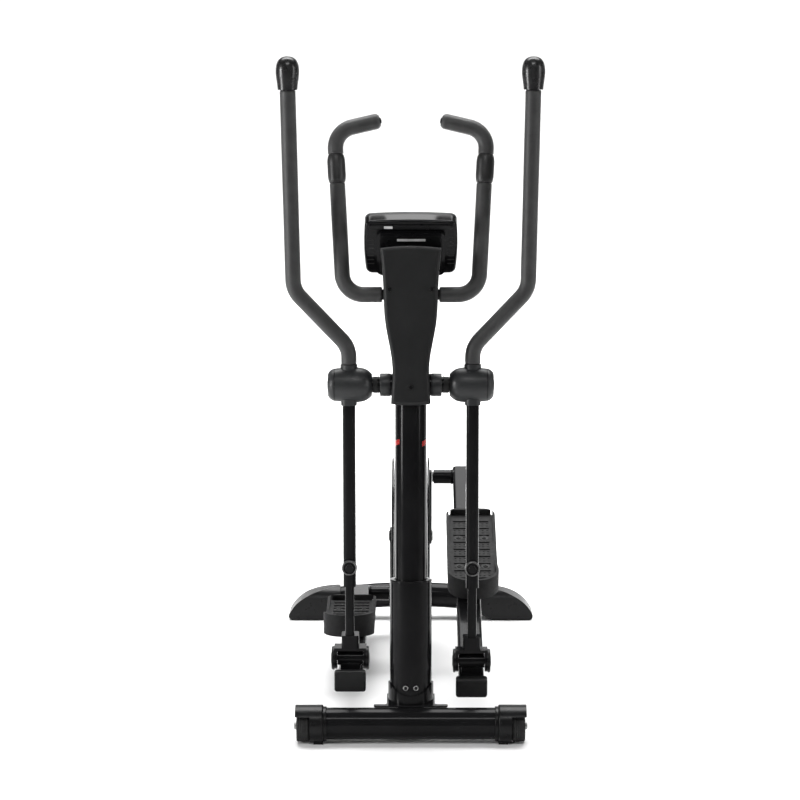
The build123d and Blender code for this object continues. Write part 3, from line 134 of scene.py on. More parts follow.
MATS = {
    "paint": surface("gloss_black_paint", (0.0055, 0.0055, 0.006), (0.0095, 0.0095, 0.010),
                     (0.10, 0.19), 7.0, ((900, 0.10, 0.0002), (45, 0.06, 0.0006)), specular=0.085),
    "plastic": surface("black_moulded_plastic", (0.0064, 0.0066, 0.0069), (0.0096, 0.0099, 0.0103),
                       (0.42, 0.58), 11.0, ((2600, 0.35, 0.0002),), specular=0.28,
                       voronoi=(1900, 0.22, 0.0002)),
    "satin": surface("black_satin_plastic", (0.0042, 0.0042, 0.0045), (0.0070, 0.0070, 0.0074),
                     (0.24, 0.36), 13.0, ((1500, 0.12, 0.0002),), specular=0.17),
    "gloss": surface("gloss_black_plastic", (0.0045, 0.0045, 0.005), (0.0075, 0.0075, 0.008),
                     (0.07, 0.16), 8.0, ((35, 0.05, 0.0005),), specular=0.16),
    "cap": surface("cap_gloss_plastic", (0.006, 0.006, 0.0065), (0.011, 0.011, 0.0115),
                   (0.22, 0.34), 16.0, ((700, 0.08, 0.0002),)),
    "barrel": surface("barrel_grey_plastic", (0.0155, 0.0165, 0.0175), (0.0225, 0.0235, 0.0245),
                      (0.34, 0.46), 12.0, ((2100, 0.30, 0.0002),), specular=0.38,
                      voronoi=(1500, 0.18, 0.0002)),
    "tread": surface("tread_grey_plastic", (0.0048, 0.0048, 0.0051), (0.0088, 0.0088, 0.0092),
                     (0.55, 0.75), 22.0, ((900, 0.5, 0.0004),), specular=0.2,
                     voronoi=(620, 0.5, 0.0005)),
    "foam": surface("grip_foam", (0.018, 0.018, 0.0182), (0.030, 0.030, 0.0302),
                    (0.40, 0.54), 26.0, ((420, 0.40, 0.0005), (1700, 0.50, 0.0003)), specular=0.46,
                    sheen=0.12, voronoi=(1300, 0.45, 0.0003)),
    "zinc": surface("zinc_steel", (0.30, 0.30, 0.30), (0.46, 0.46, 0.45), (0.26, 0.42), 30.0,
                    ((800, 0.15, 0.0002),), metallic=1.0),
    "aluminium": surface("cast_aluminium", (0.42, 0.42, 0.43), (0.56, 0.56, 0.57), (0.34, 0.5), 24.0,
                         ((600, 0.25, 0.0003),), metallic=1.0),
    "iron": surface("flywheel_iron", (0.09, 0.09, 0.09), (0.15, 0.15, 0.148), (0.3, 0.45), 14.0,
                    ((350, 0.2, 0.0003),), metallic=1.0),
    "rubber": surface("black_rubber", (0.008, 0.008, 0.008), (0.015, 0.015, 0.015), (0.6, 0.8), 18.0,
                      ((700, 0.4, 0.0003),), specular=0.35),
    "sensor": surface("sensor_black_plastic", (0.009, 0.009, 0.0092), (0.014, 0.014, 0.0142),
                      (0.36, 0.5), 15.0, ((1800, 0.2, 0.0002),)),
    # clamp knob ring: a raised ring whose bright metal colour is a painted highlight of the knob's glossy
    # rim
    "ring": surface("clamp_ring_painted_highlight", (0.10, 0.10, 0.10), (0.19, 0.19, 0.19), (0.24, 0.36), 40.0,
                    ((700, 0.1, 0.0001),), metallic=1.0),
    "contact": surface("contact_steel", (0.42, 0.42, 0.41), (0.56, 0.56, 0.55), (0.2, 0.34), 25.0,
                       ((500, 0.08, 0.0001),), metallic=1.0, stretch=(1, 1, 6)),
    "glass": surface("display_window", (0.10, 0.125, 0.11), (0.125, 0.15, 0.13), (0.05, 0.1), 10.0,
                     ((60, 0.02, 0.0002),), coat=0.4),
    "segment": surface("display_segments", (0.012, 0.014, 0.013), (0.02, 0.022, 0.02), (0.2, 0.3), 20.0,
                       ((400, 0.05, 0.0001),)),
    "red": surface("red_marking", (0.30, 0.012, 0.010), (0.44, 0.022, 0.018), (0.22, 0.34), 30.0,
                   ((900, 0.08, 0.0001),)),
    "button": surface("red_button", (0.34, 0.012, 0.012), (0.46, 0.02, 0.02), (0.2, 0.32), 30.0,
                      ((900, 0.1, 0.0001),)),
    "label": surface("pale_label", (0.42, 0.42, 0.42), (0.62, 0.62, 0.62), (0.3, 0.42), 60.0,
                     ((900, 0.06, 0.0001),)),
    "floor": surface("studio_floor", (0.86, 0.86, 0.86), (0.885, 0.885, 0.885), (0.62, 0.72), 0.8,
                     ((160, 0.03, 0.0005),), specular=0.2),
}

LOOK = {
    "paint": "main_beam front_stabilizer rear_stabilizer base_saddle post_stub upper_post "
             "left_lever_tube right_lever_tube left_lever_fork right_lever_fork left_pedal_bar "
             "right_pedal_bar crank_arms drive_plates fixed_handlebar left_handle_tube "
             "right_handle_tube",
    "plastic": "front_cover rear_cover console_bezel left_bar_cap right_bar_cap",
    "satin": "front_end_caps rear_foot_caps left_joint_pin right_joint_pin pivot_bushings base_bolts "
             "casing_screws left_clamp_bolt right_clamp_bolt left_crank_pin right_crank_pin",
    "gloss": "console_back crank_discs housing_left housing_right",
    "cap": "left_handle_cap right_handle_cap",
    "barrel": "left_pivot_cover right_pivot_cover",
    "tread": "left_pedal right_pedal",
    "foam": "inner_grip_left inner_grip_right left_handle_grip right_handle_grip",
    "zinc": "wheel_axles pivot_axle crank_axle crank_bearings flywheel_axle",
    "aluminium": "drive_pulley",
    "iron": "flywheel",
    "rubber": "wheel_left wheel_right drive_belt",
    "sensor": "pulse_sensors",
    "glass": "console_window",
    "button": "mode_button",
}
for look, names in LOOK.items():
    for name in names.split():
        node = NODES[name]
        node.data.materials.clear()
        node.data.materials.append(MATS[look])


# ------------------------------------------------------------------ mesh tools
def mesh_object(name, bm, look, smooth=True):
    """Turns a bmesh into an object with one material."""
    mesh = bpy.data.meshes.new(name)
    bmesh.ops.recalc_face_normals(bm, faces=bm.faces)
    bm.to_mesh(mesh)
    bm.free()
    for polygon in mesh.polygons:
        polygon.use_smooth = smooth
    obj = bpy.data.objects.new(name, mesh)
    bpy.context.scene.collection.objects.link(obj)
    mesh.materials.append(MATS[look])
    return obj


def piece(name, bm, look, body, smooth=True):
    """Named piece that rides on a body."""
    obj = mesh_object(name, bm, look, smooth)
    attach(obj, body)
    return obj


def plane_matrix(origin, z_axis, x_axis=(1, 0, 0)):
    """Matrix of a plane with a normal and an X direction."""
    z = Vector(z_axis).normalized()
    x = Vector(x_axis)
    x = (x - z * x.dot(z)).normalized()
    y = z.cross(x)
    rot = Matrix((x, y, z)).transposed().to_4x4()
    return Matrix.Translation(Vector(origin)) @ rot


def circle_point(matrix, radius, turn, height):
    """Point at a radius, an angle and a height about the Z axis of a matrix."""
    return matrix @ Vector((radius * math.cos(turn), radius * math.sin(turn), height))


def skin(bm, rows, closed=False):
    """Faces between neighbouring rows of vertices; closed rows join up into rings."""
    for low, high in zip(rows, rows[1:]):
        count = len(low)
        for k in range(count if closed else count - 1):
            n = (k + 1) % count
            bm.faces.new((low[k], low[n], high[n], high[k]))


def lathe(profile, matrix, segments=64):
    """Surface turned about the Z axis of a matrix; the profile is a list of (radius, height)."""
    bm = bmesh.new()
    rings = []
    for radius, height in profile:
        if radius < ON_AXIS:
            rings.append([bm.verts.new(matrix @ Vector((0, 0, height)))])
            continue
        turns = [2 * math.pi * k / segments for k in range(segments)]
        rings.append([bm.verts.new(circle_point(matrix, radius, turn, height)) for turn in turns])
    for low, high in zip(rings, rings[1:]):
        if len(low) == 1 and len(high) == 1:
            continue
        for k in range(segments):
            n = (k + 1) % segments
            if len(low) == 1:
                bm.faces.new((low[0], high[n], high[k]))
            elif len(high) == 1:
                bm.faces.new((low[k], low[n], high[0]))
            else:
                bm.faces.new((low[k], low[n], high[n], high[k]))
    return bm


def bent_path(corners, bend, steps=18, spacing=0.004):
    """Points along a line whose corners are rounded to a bend radius."""
    points = [Vector(corners[0])]
    for a, b, c in zip(corners, corners[1:], corners[2:]):
        a, b, c = Vector(a), Vector(b), Vector(c)
        u, v = (a - b).normalized(), (c - b).normalized()
        angle = u.angle(v)
        cut = bend / math.tan(angle / 2)
        centre = b + (u + v).normalized() * (bend / math.sin(angle / 2))
        start, end = b + u * cut - centre, b + v * cut - centre
        sweep = start.angle(end)
        axis = start.cross(end).normalized()
        for k in range(steps + 1):
            points.append(centre + Matrix.Rotation(sweep * k / steps, 3, axis) @ start)
    points.append(Vector(corners[-1]))
    even = [points[0]]
    for a, b in zip(points, points[1:]):
        length = (b - a).length
        count = max(1, round(length / spacing))
        for k in range(1, count + 1):
            even.append(a.lerp(b, k / count))
    return even


def swept(points, radius_at, segments=40, side=Vector((0, 1, 0))):
    """Closed round skin along points; radius_at(distance, length) gives the radius."""
    length = sum((b - a).length for a, b in zip(points, points[1:]))
    bm = bmesh.new()
    rings = []
    run = 0.0
    for i, p in enumerate(points):
        if i:
            run += (p - points[i - 1]).length
        ahead = points[min(i + 1, len(points) - 1)] - points[max(i - 1, 0)]
        t = ahead.normalized()
        u = (side - t * side.dot(t)).normalized()
        v = t.cross(u)
        radius = radius_at(run, length)
        ring = []
        for k in range(segments):
            turn = 2 * math.pi * k / segments
            ring.append(bm.verts.new(p + (u * math.cos(turn) + v * math.sin(turn)) * radius))
        rings.append(ring)
    skin(bm, rings, closed=True)
    for ring, end in ((rings[0], points[0]), (rings[-1], points[-1])):
        hub = bm.verts.new(end)
        for k in range(segments):
            bm.faces.new((ring[k], ring[(k + 1) % segments], hub))
    return bm


# ------------------------------------------------------------- frame geometry
LEAN = math.radians(4.0)
POST_UP = Vector((0, math.sin(LEAN), math.cos(LEAN)))
POST_BACK = Vector((0, math.cos(LEAN), -math.sin(LEAN)))
POST_FOOT = Vector((0, -0.585, 0.085))


def on_post(x, back, height):
    """Point in the leaning post's own directions, in metres."""
    return POST_FOOT + Vector((x, 0, 0)) + POST_BACK * back + POST_UP * height


PIVOT = on_post(0, 0, 0.7386)
BAR_TILT = math.radians(12.0)
BAR_UP = Vector((0, math.sin(BAR_TILT), math.cos(BAR_TILT)))
BAR_Z = 1.031
BAR_FOOT = Vector((0, POST_FOOT.y + (BAR_Z - POST_FOOT.z) * math.tan(LEAN), BAR_Z))
JOINTS = {joint["name"]: joint for joint in frame["joints"]}


def lever_frame(word):
    """Origin on the pivot axle, then the directions back and up along one lever."""
    foot = Vector(JOINTS[f"{word}_bar_tilt"]["pos_m"])
    head = Vector(JOINTS[f"{word}_lever_swing"]["pos_m"])
    up = (head - foot).normalized()
    return head, Vector((0, up.z, -up.y)), up


CRANK_Y, CRANK_Z = JOINTS["crank_turn"]["pos_m"][1:]
CRANK_R = 0.172
CRANK_TURN = math.radians(12.0)  # right arm, forward of straight up; the left arm is opposite
BAR_DROP = 0.045  # middle line of a pedal bar below the lower lever joint


def pedal_bar(side, word):
    """Y and Z of one crank pin, and the tilt of the pedal bar between it and the lever."""
    y = CRANK_Y - side * CRANK_R * math.sin(CRANK_TURN)
    z = CRANK_Z + side * CRANK_R * math.cos(CRANK_TURN)
    _, joint_y, joint_z = JOINTS[f"{word}_bar_tilt"]["pos_m"]
    run, rise = y - joint_y, z - joint_z
    return y, z, math.atan2(rise, run) + math.asin(BAR_DROP / math.hypot(run, rise))


PEDAL_BARS = {word: pedal_bar(side, word) for side, word in SIDES}


def on_bar(word, x, back, up):
    """Point in a pedal bar's own directions, from the crank pin."""
    y, z, turn = PEDAL_BARS[word]
    return Vector((x, y + back * math.cos(turn) - up * math.sin(turn),
                   z + back * math.sin(turn) + up * math.cos(turn)))


def bar_matrix(word, x, back, up):
    """Plane on a pedal bar with its normal up off the bar."""
    turn = PEDAL_BARS[word][2]
    return plane_matrix(on_bar(word, x, back, up), (0, -math.sin(turn), math.cos(turn)))


# ------------------------------------------------------------------ foam grips
GRIP = 0.0182


def foam_radius(foot_round, head_round, foot_low, head_low, phase):
    """Radius of a foam tube with rounded ends and a hand-worn unevenness."""
    def radius(run, length):
        size = GRIP * (1 + 0.012 * noise.noise(Vector((run * 9, phase, 0.3))))
        for gap, reach, low in ((run, foot_round, foot_low), (length - run, head_round, head_low)):
            if gap < reach:
                k = 1 - gap / reach
                size *= low + (1 - low) * math.sqrt(max(0.0, 1 - k * k))
        return size
    return radius


def fixed_point(x, height):
    """Point on the tilted plane of the fixed handlebar."""
    return BAR_FOOT + Vector((x, 0, 0)) + BAR_UP * height


UPRIGHT_FOOT, UPRIGHT_HEAD, UPRIGHT_TALL = 0.157, 0.178, 0.384
ARM_FOOT_X = 0.0665
ARM_TIP = (0.0712, 0.4092)
SENSOR_LOW, SENSOR_MID, SENSOR_HIGH = 0.262, 0.295, 0.328
SENSOR_GAP = 0.0005
FIXED_BEND, MOVING_BEND = 0.05, 0.06
LEVER_X = 0.144
HANDLE_CORNERS = ((LEVER_X, 0.0485), (LEVER_X, 0.088), (0.272, 0.222), (0.28175, 0.6815))


def upright_x(height):
    """Distance of the fixed handlebar's upright from the middle."""
    return UPRIGHT_FOOT + (UPRIGHT_HEAD - UPRIGHT_FOOT) * height / UPRIGHT_TALL


CONTACT_ROWS, CONTACT_STEPS = 12, 14
CONTACT_LENGTH = 0.048
CONTACT_ARC = math.radians(96)
SLEEVE_R, SLEEVE_BULGE, SLEEVE_HALF = 0.0176, 0.0036, 0.033


def contact_plate(base):
    """Steel contact that follows the bulge of the sensor sleeve on the user's side."""
    bm = bmesh.new()
    rows = []
    for i in range(CONTACT_ROWS + 1):
        f = i / CONTACT_ROWS
        h = CONTACT_LENGTH * (f - 0.5)
        lift = 0.0001 + 0.00035 * (1 - abs(2 * f - 1)) ** 0.3
        r = SLEEVE_R + SLEEVE_BULGE * math.cos(h / SLEEVE_HALF * math.pi / 2) ** 0.8 + lift
        turns = [CONTACT_ARC * (k / CONTACT_STEPS - 0.5) for k in range(CONTACT_STEPS + 1)]
        rows.append([bm.verts.new(circle_point(base, r, turn, h)) for turn in turns])
    skin(bm, rows)
    return bm


for side, word in SIDES:
    below, above = SENSOR_LOW - SENSOR_GAP, SENSOR_HIGH + SENSOR_GAP
    lower = [fixed_point(side * x, h)
             for x, h in ((ARM_FOOT_X, 0.0), (UPRIGHT_FOOT, 0.0), (upright_x(below), below))]
    upper = [fixed_point(side * x, h)
             for x, h in ((upright_x(above), above), (UPRIGHT_HEAD, UPRIGHT_TALL), ARM_TIP)]
    grips = (
        (f"foam_fixed_{word}_lower", lower, foam_radius(0.0025, 0.0025, 0.86, 0.86, 1.0 + side)),
        (f"foam_fixed_{word}_upper", upper, foam_radius(0.0025, 0.0115, 0.86, 0.35, 4.0 + side)),
    )
    for name, corners, radius in grips:
        path = bent_path(corners, FIXED_BEND, spacing=0.0022)
        foam = piece(name, swept(path, radius), "foam", "frame")
        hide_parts(f"inner_grip_{word}")

    origin, _, up = lever_frame(word)
    corners = [origin + Vector((side * x, 0, 0)) + up * h for x, h in HANDLE_CORNERS]
    path = bent_path(corners, MOVING_BEND, spacing=0.0024)
    radius = foam_radius(0.002, 0.002, 0.94, 0.9, 9.0 + side)
    foam = piece(f"foam_moving_{word}", swept(path, radius), "foam", f"{word}_lever")
    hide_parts(f"{word}_handle_grip")

    # plug in the open end of the fixed handlebar's foam
    tip = fixed_point(side * ARM_TIP[0], ARM_TIP[1])
    outward = (tip - fixed_point(side * UPRIGHT_HEAD, UPRIGHT_TALL)).normalized()
    plug = plane_matrix(tip + outward * 0.0002, outward, (0, 1, 0))
    profile = [(0.0074, -0.003), (0.0074, 0.0), (0.0068, 0.0012), (0.004, 0.0022), (0.0, 0.0026)]
    piece(f"end_plug_{word}", lathe(profile, plug, 36), "satin", "frame")

    sensor_low = fixed_point(side * upright_x(SENSOR_LOW), SENSOR_LOW)
    sensor_mid = fixed_point(side * upright_x(SENSOR_MID), SENSOR_MID)
    sensor_high = fixed_point(side * upright_x(SENSOR_HIGH), SENSOR_HIGH)
    sensor = plane_matrix(sensor_mid, (sensor_high - sensor_low).normalized(), (0, 1, 0))
    piece(f"sensor_contact_{word}_rear", contact_plate(sensor), "contact", "frame")


# ------------------------------------------------------------ post and pivot
EDGE_BREAK = 0.3  # share of an edge's size at the middle of its rounding


def ring_profile(inner, outer, low, high, edge):
    """Ring section with rounded outer edges, open on the inside."""
    nick = edge * EDGE_BREAK
    return [(inner, low), (outer - edge, low), (outer - nick, low + nick), (outer, low + edge),
            (outer, high - edge), (outer - nick, high - nick), (outer - edge, high), (inner, high)]


def bead(radius, swell, start, width, steps=8):
    """Section of a weld bead on a round surface."""
    return [(radius + swell * math.sin(math.pi * k / steps), start + width * k / steps)
            for k in range(steps + 1)]


def band(matrix, radius, middle, half_turn, low, high, slant=0.006, steps=14, rows_up=8):
    """Thin label bent round a tube and laid at a slant; turns are in degrees."""
    bm = bmesh.new()
    rows = []
    for i in range(rows_up + 1):
        row = []
        for k in range(steps + 1):
            g = k / steps
            a = math.radians(middle + half_turn * (2 * g - 1))
            h = low + (high - low) * i / rows_up + slant * (g - 0.5)
            row.append(bm.verts.new(circle_point(matrix, radius, a, h)))
        rows.append(row)
    skin(bm, rows)
    return bm


MARK_R = 0.0372
MARK_AT, MARK_HALF = 62, 17
post = plane_matrix(POST_FOOT, POST_UP, -POST_BACK)
for side, word in SIDES:
    # X of this plane faces forward, so each mark lies on the side of the tube
    piece(f"post_mark_{word}", band(post, MARK_R, side * MARK_AT, MARK_HALF, 0.599, 0.611), "red", "frame")
    across = plane_matrix(PIVOT, (side, 0, 0), (0, 1, 0))
    profile = ring_profile(0.02555, 0.0268, 0.047, 0.0715, 0.0012)
    piece(f"cross_sleeve_{word}", lathe(profile, across, 72), "barrel", "frame")
    profile = ring_profile(0.0186, 0.0212, 0.0745, 0.0765, 0.0006)
    piece(f"pivot_washer_{word}", lathe(profile, across), "satin", "frame")
    folds = [(0.0192 + 0.0005 * math.cos(k * math.pi), 0.0775 + 0.0011 * k) for k in range(10)]
    profile = [(0.0186, 0.0772), *folds, (0.0186, 0.0878)]
    piece(f"pivot_gaiter_{word}", lathe(profile, across), "rubber", "frame")
    # mould seam and round cap on the barrel cover
    origin = lever_frame(word)[0]
    hub = plane_matrix(origin, (side, 0, 0), (0, 1, 0))
    profile = [(0.0, 0.1946), (0.009, 0.1945), (0.0125, 0.1940), (0.0142, 0.1931), (0.0145, 0.1925)]
    piece(f"barrel_button_{word}", lathe(profile, hub, 56), "satin", f"{word}_lever")
    profile = ring_profile(0.0368, 0.0385, 0.1771, 0.1789, 0.0004)
    piece(f"barrel_seam_{word}_178", lathe(profile, hub, 96), "satin", f"{word}_lever")

# rolled edge and weld of the lower post tube
profile = ring_profile(0.0374, 0.0497, 0.2782, 0.2832, 0.0020)
piece("stub_lip", lathe(profile, post, 96), "paint", "frame")
profile = bead(0.0493, 0.0022, 0.0005, 0.0046)
piece("stub_weld", lathe(profile, post, 96), "paint", "frame")


def socket_head(name, matrix, radius, body, look="zinc"):
    """Hex recess with a rounded rim, set on a bolt head."""
    rim = [(radius * share, height) for share, height in
           ((0.56, -0.0002), (0.60, 0.0005), (0.72, 0.0007), (0.82, 0.0003), (0.84, -0.0004))]
    piece(f"{name}_rim", lathe(rim, matrix, 48), look, body)
    recess = [(radius * 0.54, 0.0003), (radius * 0.5, -0.0006), (0.0, -0.0008)]
    piece(f"{name}_socket", lathe(recess, matrix, 6), "satin", body, smooth=False)


BASE_BOLT_X, BASE_BOLT_H, BASE_BOLT_FRONT = 0.012, 0.034, 0.0527
COVER_SCREWS = ((-0.049, 0.962), (0.049, 0.962), (0.0, 0.735))
COVER_SCREW_FRONT = 0.0587
for side, word in SIDES:
    head = plane_matrix(on_post(side * BASE_BOLT_X, -BASE_BOLT_FRONT, BASE_BOLT_H), -POST_BACK)
    socket_head(f"base_bolt_{word}", head, 0.007, "frame")
for number, (x, h) in enumerate(COVER_SCREWS, 1):
    head = plane_matrix(on_post(x, -COVER_SCREW_FRONT, h), -POST_BACK)
    socket_head(f"cover_screw_{number}", head, 0.005, "frame", "satin")

# ------------------------------------------------- clamp bolts and joint caps
CLAMP_H = -0.430
CLAMP_FACE = 0.0327
CLAMP_RING = [(0.0138, -0.0002), (0.0142, 0.0008), (0.0155, 0.0013), (0.0172, 0.0009),
              (0.0179, -0.0004), (0.0181, -0.003)]
CLAMP_DISH = [(0.0136, 0.0), (0.0128, -0.0011), (0.0085, -0.0014), (0.0078, 0.0002),
              (0.0060, 0.0011), (0.0052, 0.0004), (0.0048, -0.001), (0.0, -0.0012)]
JOINT_CAP = [(0.0, 0.0018), (0.010, 0.0016), (0.0135, 0.0009), (0.0145, -0.0003),
             (0.0178, -0.0004), (0.0186, 0.0003), (0.0198, 0.0003), (0.0206, -0.0004)]
JOINT_ENDS = ((1, 0.1875, "outer"), (-1, 0.0994, "inner"))


def painted_slot_highlight(knob):
    """Two bright steel strips across a clamp bolt's head, a painted highlight along its slot."""
    bm = bmesh.new()
    for s in (-1, 1):
        near, far = s * 0.0006, s * 0.0017
        outline = ((-0.0052, near), (0.0052, near), (0.0047, far), (-0.0047, far))
        bm.faces.new([bm.verts.new(knob @ Vector((x, y, 0.0012))) for x, y in outline])
    return bm


for side, word in SIDES:
    origin, back, up = lever_frame(word)
    body = f"{word}_lever"
    knob = plane_matrix(origin + Vector((side * LEVER_X, 0, 0)) + up * CLAMP_H - back * CLAMP_FACE, -back)
    # raised ring whose bright metal colour is a painted highlight of the knob's glossy rim
    piece(f"clamp_ring_{word}", lathe(CLAMP_RING, knob, 72), "ring", body)
    piece(f"clamp_dish_{word}", lathe(CLAMP_DISH, knob, 60), "satin", body)
    # flat bright strips painted as the highlight along the knob's slot
    piece(f"painted_slot_highlight_{word}", painted_slot_highlight(knob), "contact", body)
    foot = Vector(JOINTS[f"{word}_bar_tilt"]["pos_m"])
    for sign, x, place in JOINT_ENDS:
        cap = plane_matrix(foot + Vector((side * x, 0, 0)), (side * sign, 0, 0), (0, 1, 0))
        piece(f"joint_cap_{word}_{place}", lathe(JOINT_CAP, cap), "satin", body)


# -------------------------------------------------------------- pedal details
RIB_START, RIB_STEP, RIB_GAPS = -0.568, 0.034, 8
NUB_ROWS = (0.0145, 0.0265)  # places between two ribs
NUB_STEP, NUB_COLUMNS, NUB_START = 0.012, 8, -0.042
NUB_R = 0.0031
NUB_SIDES = 12
FLOOR_UP = 0.0359
SCREW_UP = 0.0361
SCREW_ROWS = (-0.513, -0.377)
SCREW_X = 0.033
SCREW_CLEAR = 0.0155
PEDAL_X = 0.155
WASHER = [(0.0118, -0.0002), (0.0112, 0.0009), (0.0096, 0.0012), (0.0072, 0.0004), (0.0, 0.0002)]
SCREW = [(0.0058, 0.0004), (0.0057, 0.0015), (0.0044, 0.0026), (0.0026, 0.0029), (0.0022, 0.0014),
         (0.0, 0.0012)]


def nub(bm, spot, size):
    """One low round stud on the pedal's floor."""
    rings = []
    for r, h in ((size, 0.0), (size * 0.93, 0.0007), (size * 0.6, 0.00125)):
        turns = [2 * math.pi * k / NUB_SIDES for k in range(NUB_SIDES)]
        rings.append([bm.verts.new(circle_point(spot, r, turn, h)) for turn in turns])
    skin(bm, rings, closed=True)
    bm.faces.new(rings[-1])


def near_screw(x, y):
    """Whether a stud at this place would stand on a fixing screw's washer."""
    return any(math.hypot(abs(x) - SCREW_X, y - row) < SCREW_CLEAR for row in SCREW_ROWS)


def pedal_nubs(side, word):
    """Rows of studs between the ribs of one pedal."""
    bm = bmesh.new()
    for gap in range(RIB_GAPS):
        for row in NUB_ROWS:
            y = RIB_START + RIB_STEP * gap + row
            for column in range(NUB_COLUMNS):
                x = NUB_START + NUB_STEP * column
                if near_screw(x, y):
                    continue
                size = NUB_R * (1 + 0.05 * RNG.uniform(-1, 1))
                nub(bm, bar_matrix(word, side * PEDAL_X + x, y, FLOOR_UP), size)
    return bm


for side, word in SIDES:
    body = f"{word}_bar"
    piece(f"pedal_nubs_{word}", pedal_nubs(side, word), "tread", body)
    for row, y in enumerate(SCREW_ROWS):
        for x in (-SCREW_X, SCREW_X):
            spot = bar_matrix(word, side * PEDAL_X + x, y, SCREW_UP)
            tag = f"{word}_{row}_{'in' if x * side < 0 else 'out'}"
            piece(f"pedal_washer_{tag}", lathe(WASHER, spot, 48), "rubber", body)
            piece(f"pedal_screw_{tag}", lathe(SCREW, spot, 36), "satin", body)
    # weld bead round the bearing tube at the rear of the pedal bar
    pin = on_bar(word, 0, 0, 0)
    cross = plane_matrix(pin + Vector((side * 0.1135, 0, 0)), (-side, 0, 0), (0, 1, 0))
    profile = bead(0.0187, 0.0026, 0.0002, 0.005)
    piece(f"weld_{word}_sleeve", lathe(profile, cross, 72), "paint", body)


# ------------------------------------------------------------------- console
CONSOLE_TILT = math.radians(60.0)
CONSOLE_OUT = Vector((0, math.sin(CONSOLE_TILT), math.cos(CONSOLE_TILT)))
CONSOLE_AT = Vector((0, -0.488, 1.150))
CONSOLE = plane_matrix(CONSOLE_AT, CONSOLE_OUT)
SHARPEST = 0.0002  # smallest corner radius of a plate
SCREEN_Y, BUTTON_Y = -14, 50
SCREEN_LOW, SCREEN_HIGH = 20.45, 20.62  # display marks, from just under to just over the glass


def rounded_slab(matrix, cx, cy, width, height, corner, low, high, edge, crown=0.0, steps=7):
    """Rounded plate with a softened rim; heights run along the plane's normal, either way."""
    bm = bmesh.new()
    drop = math.copysign(edge, high - low)
    levels = [(0.0, low), (0.0, high - drop), (edge * 0.35, high - drop * 0.35), (edge, high)]
    rings = []
    for inset, z in levels:
        ring = []
        w, h, r = width / 2 - inset, height / 2 - inset, max(corner - inset, SHARPEST)
        for quarter, (sx, sy) in enumerate(((1, 1), (-1, 1), (-1, -1), (1, -1))):
            for k in range(steps + 1):
                a = math.radians(90 * quarter + 90 * k / steps)
                x = cx + sx * (w - r) + r * math.cos(a)
                y = cy + sy * (h - r) + r * math.sin(a)
                bow = crown * (1 - ((x - cx) / (width / 2)) ** 2)
                ring.append(bm.verts.new(matrix @ Vector((x, y - bow, z))))
        rings.append(ring)
    skin(bm, rings, closed=True)
    bm.faces.new(rings[-1])
    bm.faces.new(list(reversed(rings[0])))
    return bm


def slab(name, look, cx, cy, width, height, corner, low, high, edge, body="frame", crown=0.0):
    """Rounded plate on the console, in its own directions and in millimetres."""
    bm = rounded_slab(CONSOLE, cx * MM, cy * MM, width * MM, height * MM, corner * MM, low * MM, high * MM,
                      edge * MM, crown * MM)
    return piece(name, bm, look, body, smooth=False)


# the shell's back, seen from the front of the trainer
slab("console_top_band", "satin", 0, -59, 196, 13, 6, -20, -26.5, 2.2, crown=2.0)
slab("console_label", "label", -52, -59.5, 20, 7, 1.2, -26.4, -26.9, 0.2)
slab("console_stripe", "label", 1, -29.5, 66, 6.5, 1.0, -33.6, -34.3, 0.15)
for k in range(7):
    for side, word in SIDES:
        slab(f"console_vent_{word}_{k}", "rubber", side * 93, -22 + 11 * k, 16, 3.2, 1.5, -21.4, -22.3, 0.25)
slab("bulge_frame", "satin", 0, 10, 146, 104, 9, -33.2, -34.15, 0.4)
# display seen by the user: plain bars and blocks, no lettering
slab("screen_frame", "satin", 0, SCREEN_Y, 134, 74, 6.5, 19.6, 20.35, 0.3)
slab("screen_glass", "glass", 0, SCREEN_Y, 124, 64, 3.5, 19.9, 20.5, 0.15)
for k in range(4):
    for j in range(3):
        slab(f"screen_block_{k}_{j}", "segment", -43 + 28.5 * k, -34 + 13.5 * j, 20, 7.5, 0.8,
             SCREEN_LOW, SCREEN_HIGH, 0.05)
for k in range(12):
    tall = 3 + 8 * abs(math.sin(0.55 * k + 0.4))
    slab(f"screen_bar_{k}", "segment", -49.5 + 9 * k, 15 - tall / 2, 6, tall, 0.4,
         SCREEN_LOW, SCREEN_HIGH, 0.05)
slab("button_ring", "satin", 0, BUTTON_Y, 27, 27, 13.4, 19.4, 20.5, 0.5)
for side, word in SIDES:
    slab(f"panel_inlay_{word}", "gloss", side * 58, BUTTON_Y, 70, 22, 9, 19.6, 20.4, 0.35)
slab("button_face", "button", 0, BUTTON_Y, 18.6, 18.6, 9.2, 18, 20.95, 0.7,
     body="button_body")


# ----------------------------------------------------- housing and stabilizers
DISC_FACE = 0.0484
SPOKES = 6
SPOKE_ROWS, SPOKE_STEPS = 14, 6
SPOKE_IN, SPOKE_OUT = 0.048, 0.143
WHEEL_YZ = (-0.655, 0.039)
TUBE_YZ = (-0.655, 0.044)
TREADS = 5


def disc_spoke(axis, turn):
    """Low raised spoke that widens outwards and sweeps round as it goes."""
    bm = bmesh.new()
    rows = []
    for i in range(SPOKE_ROWS + 1):
        f = i / SPOKE_ROWS
        r = SPOKE_IN + (SPOKE_OUT - SPOKE_IN) * f
        half = 0.010 + 0.008 * f
        top = DISC_FACE + 0.0002 + 0.0009 * math.sin(math.pi * f) ** 0.4
        row = []
        for j in range(SPOKE_STEPS + 1):
            a = turn + 2 * (j / SPOKE_STEPS - 0.5) * half / r + 0.35 * f
            height = top if 0 < j < SPOKE_STEPS else DISC_FACE
            row.append(bm.verts.new(circle_point(axis, r, a, height)))
        rows.append(row)
    skin(bm, rows)
    return bm


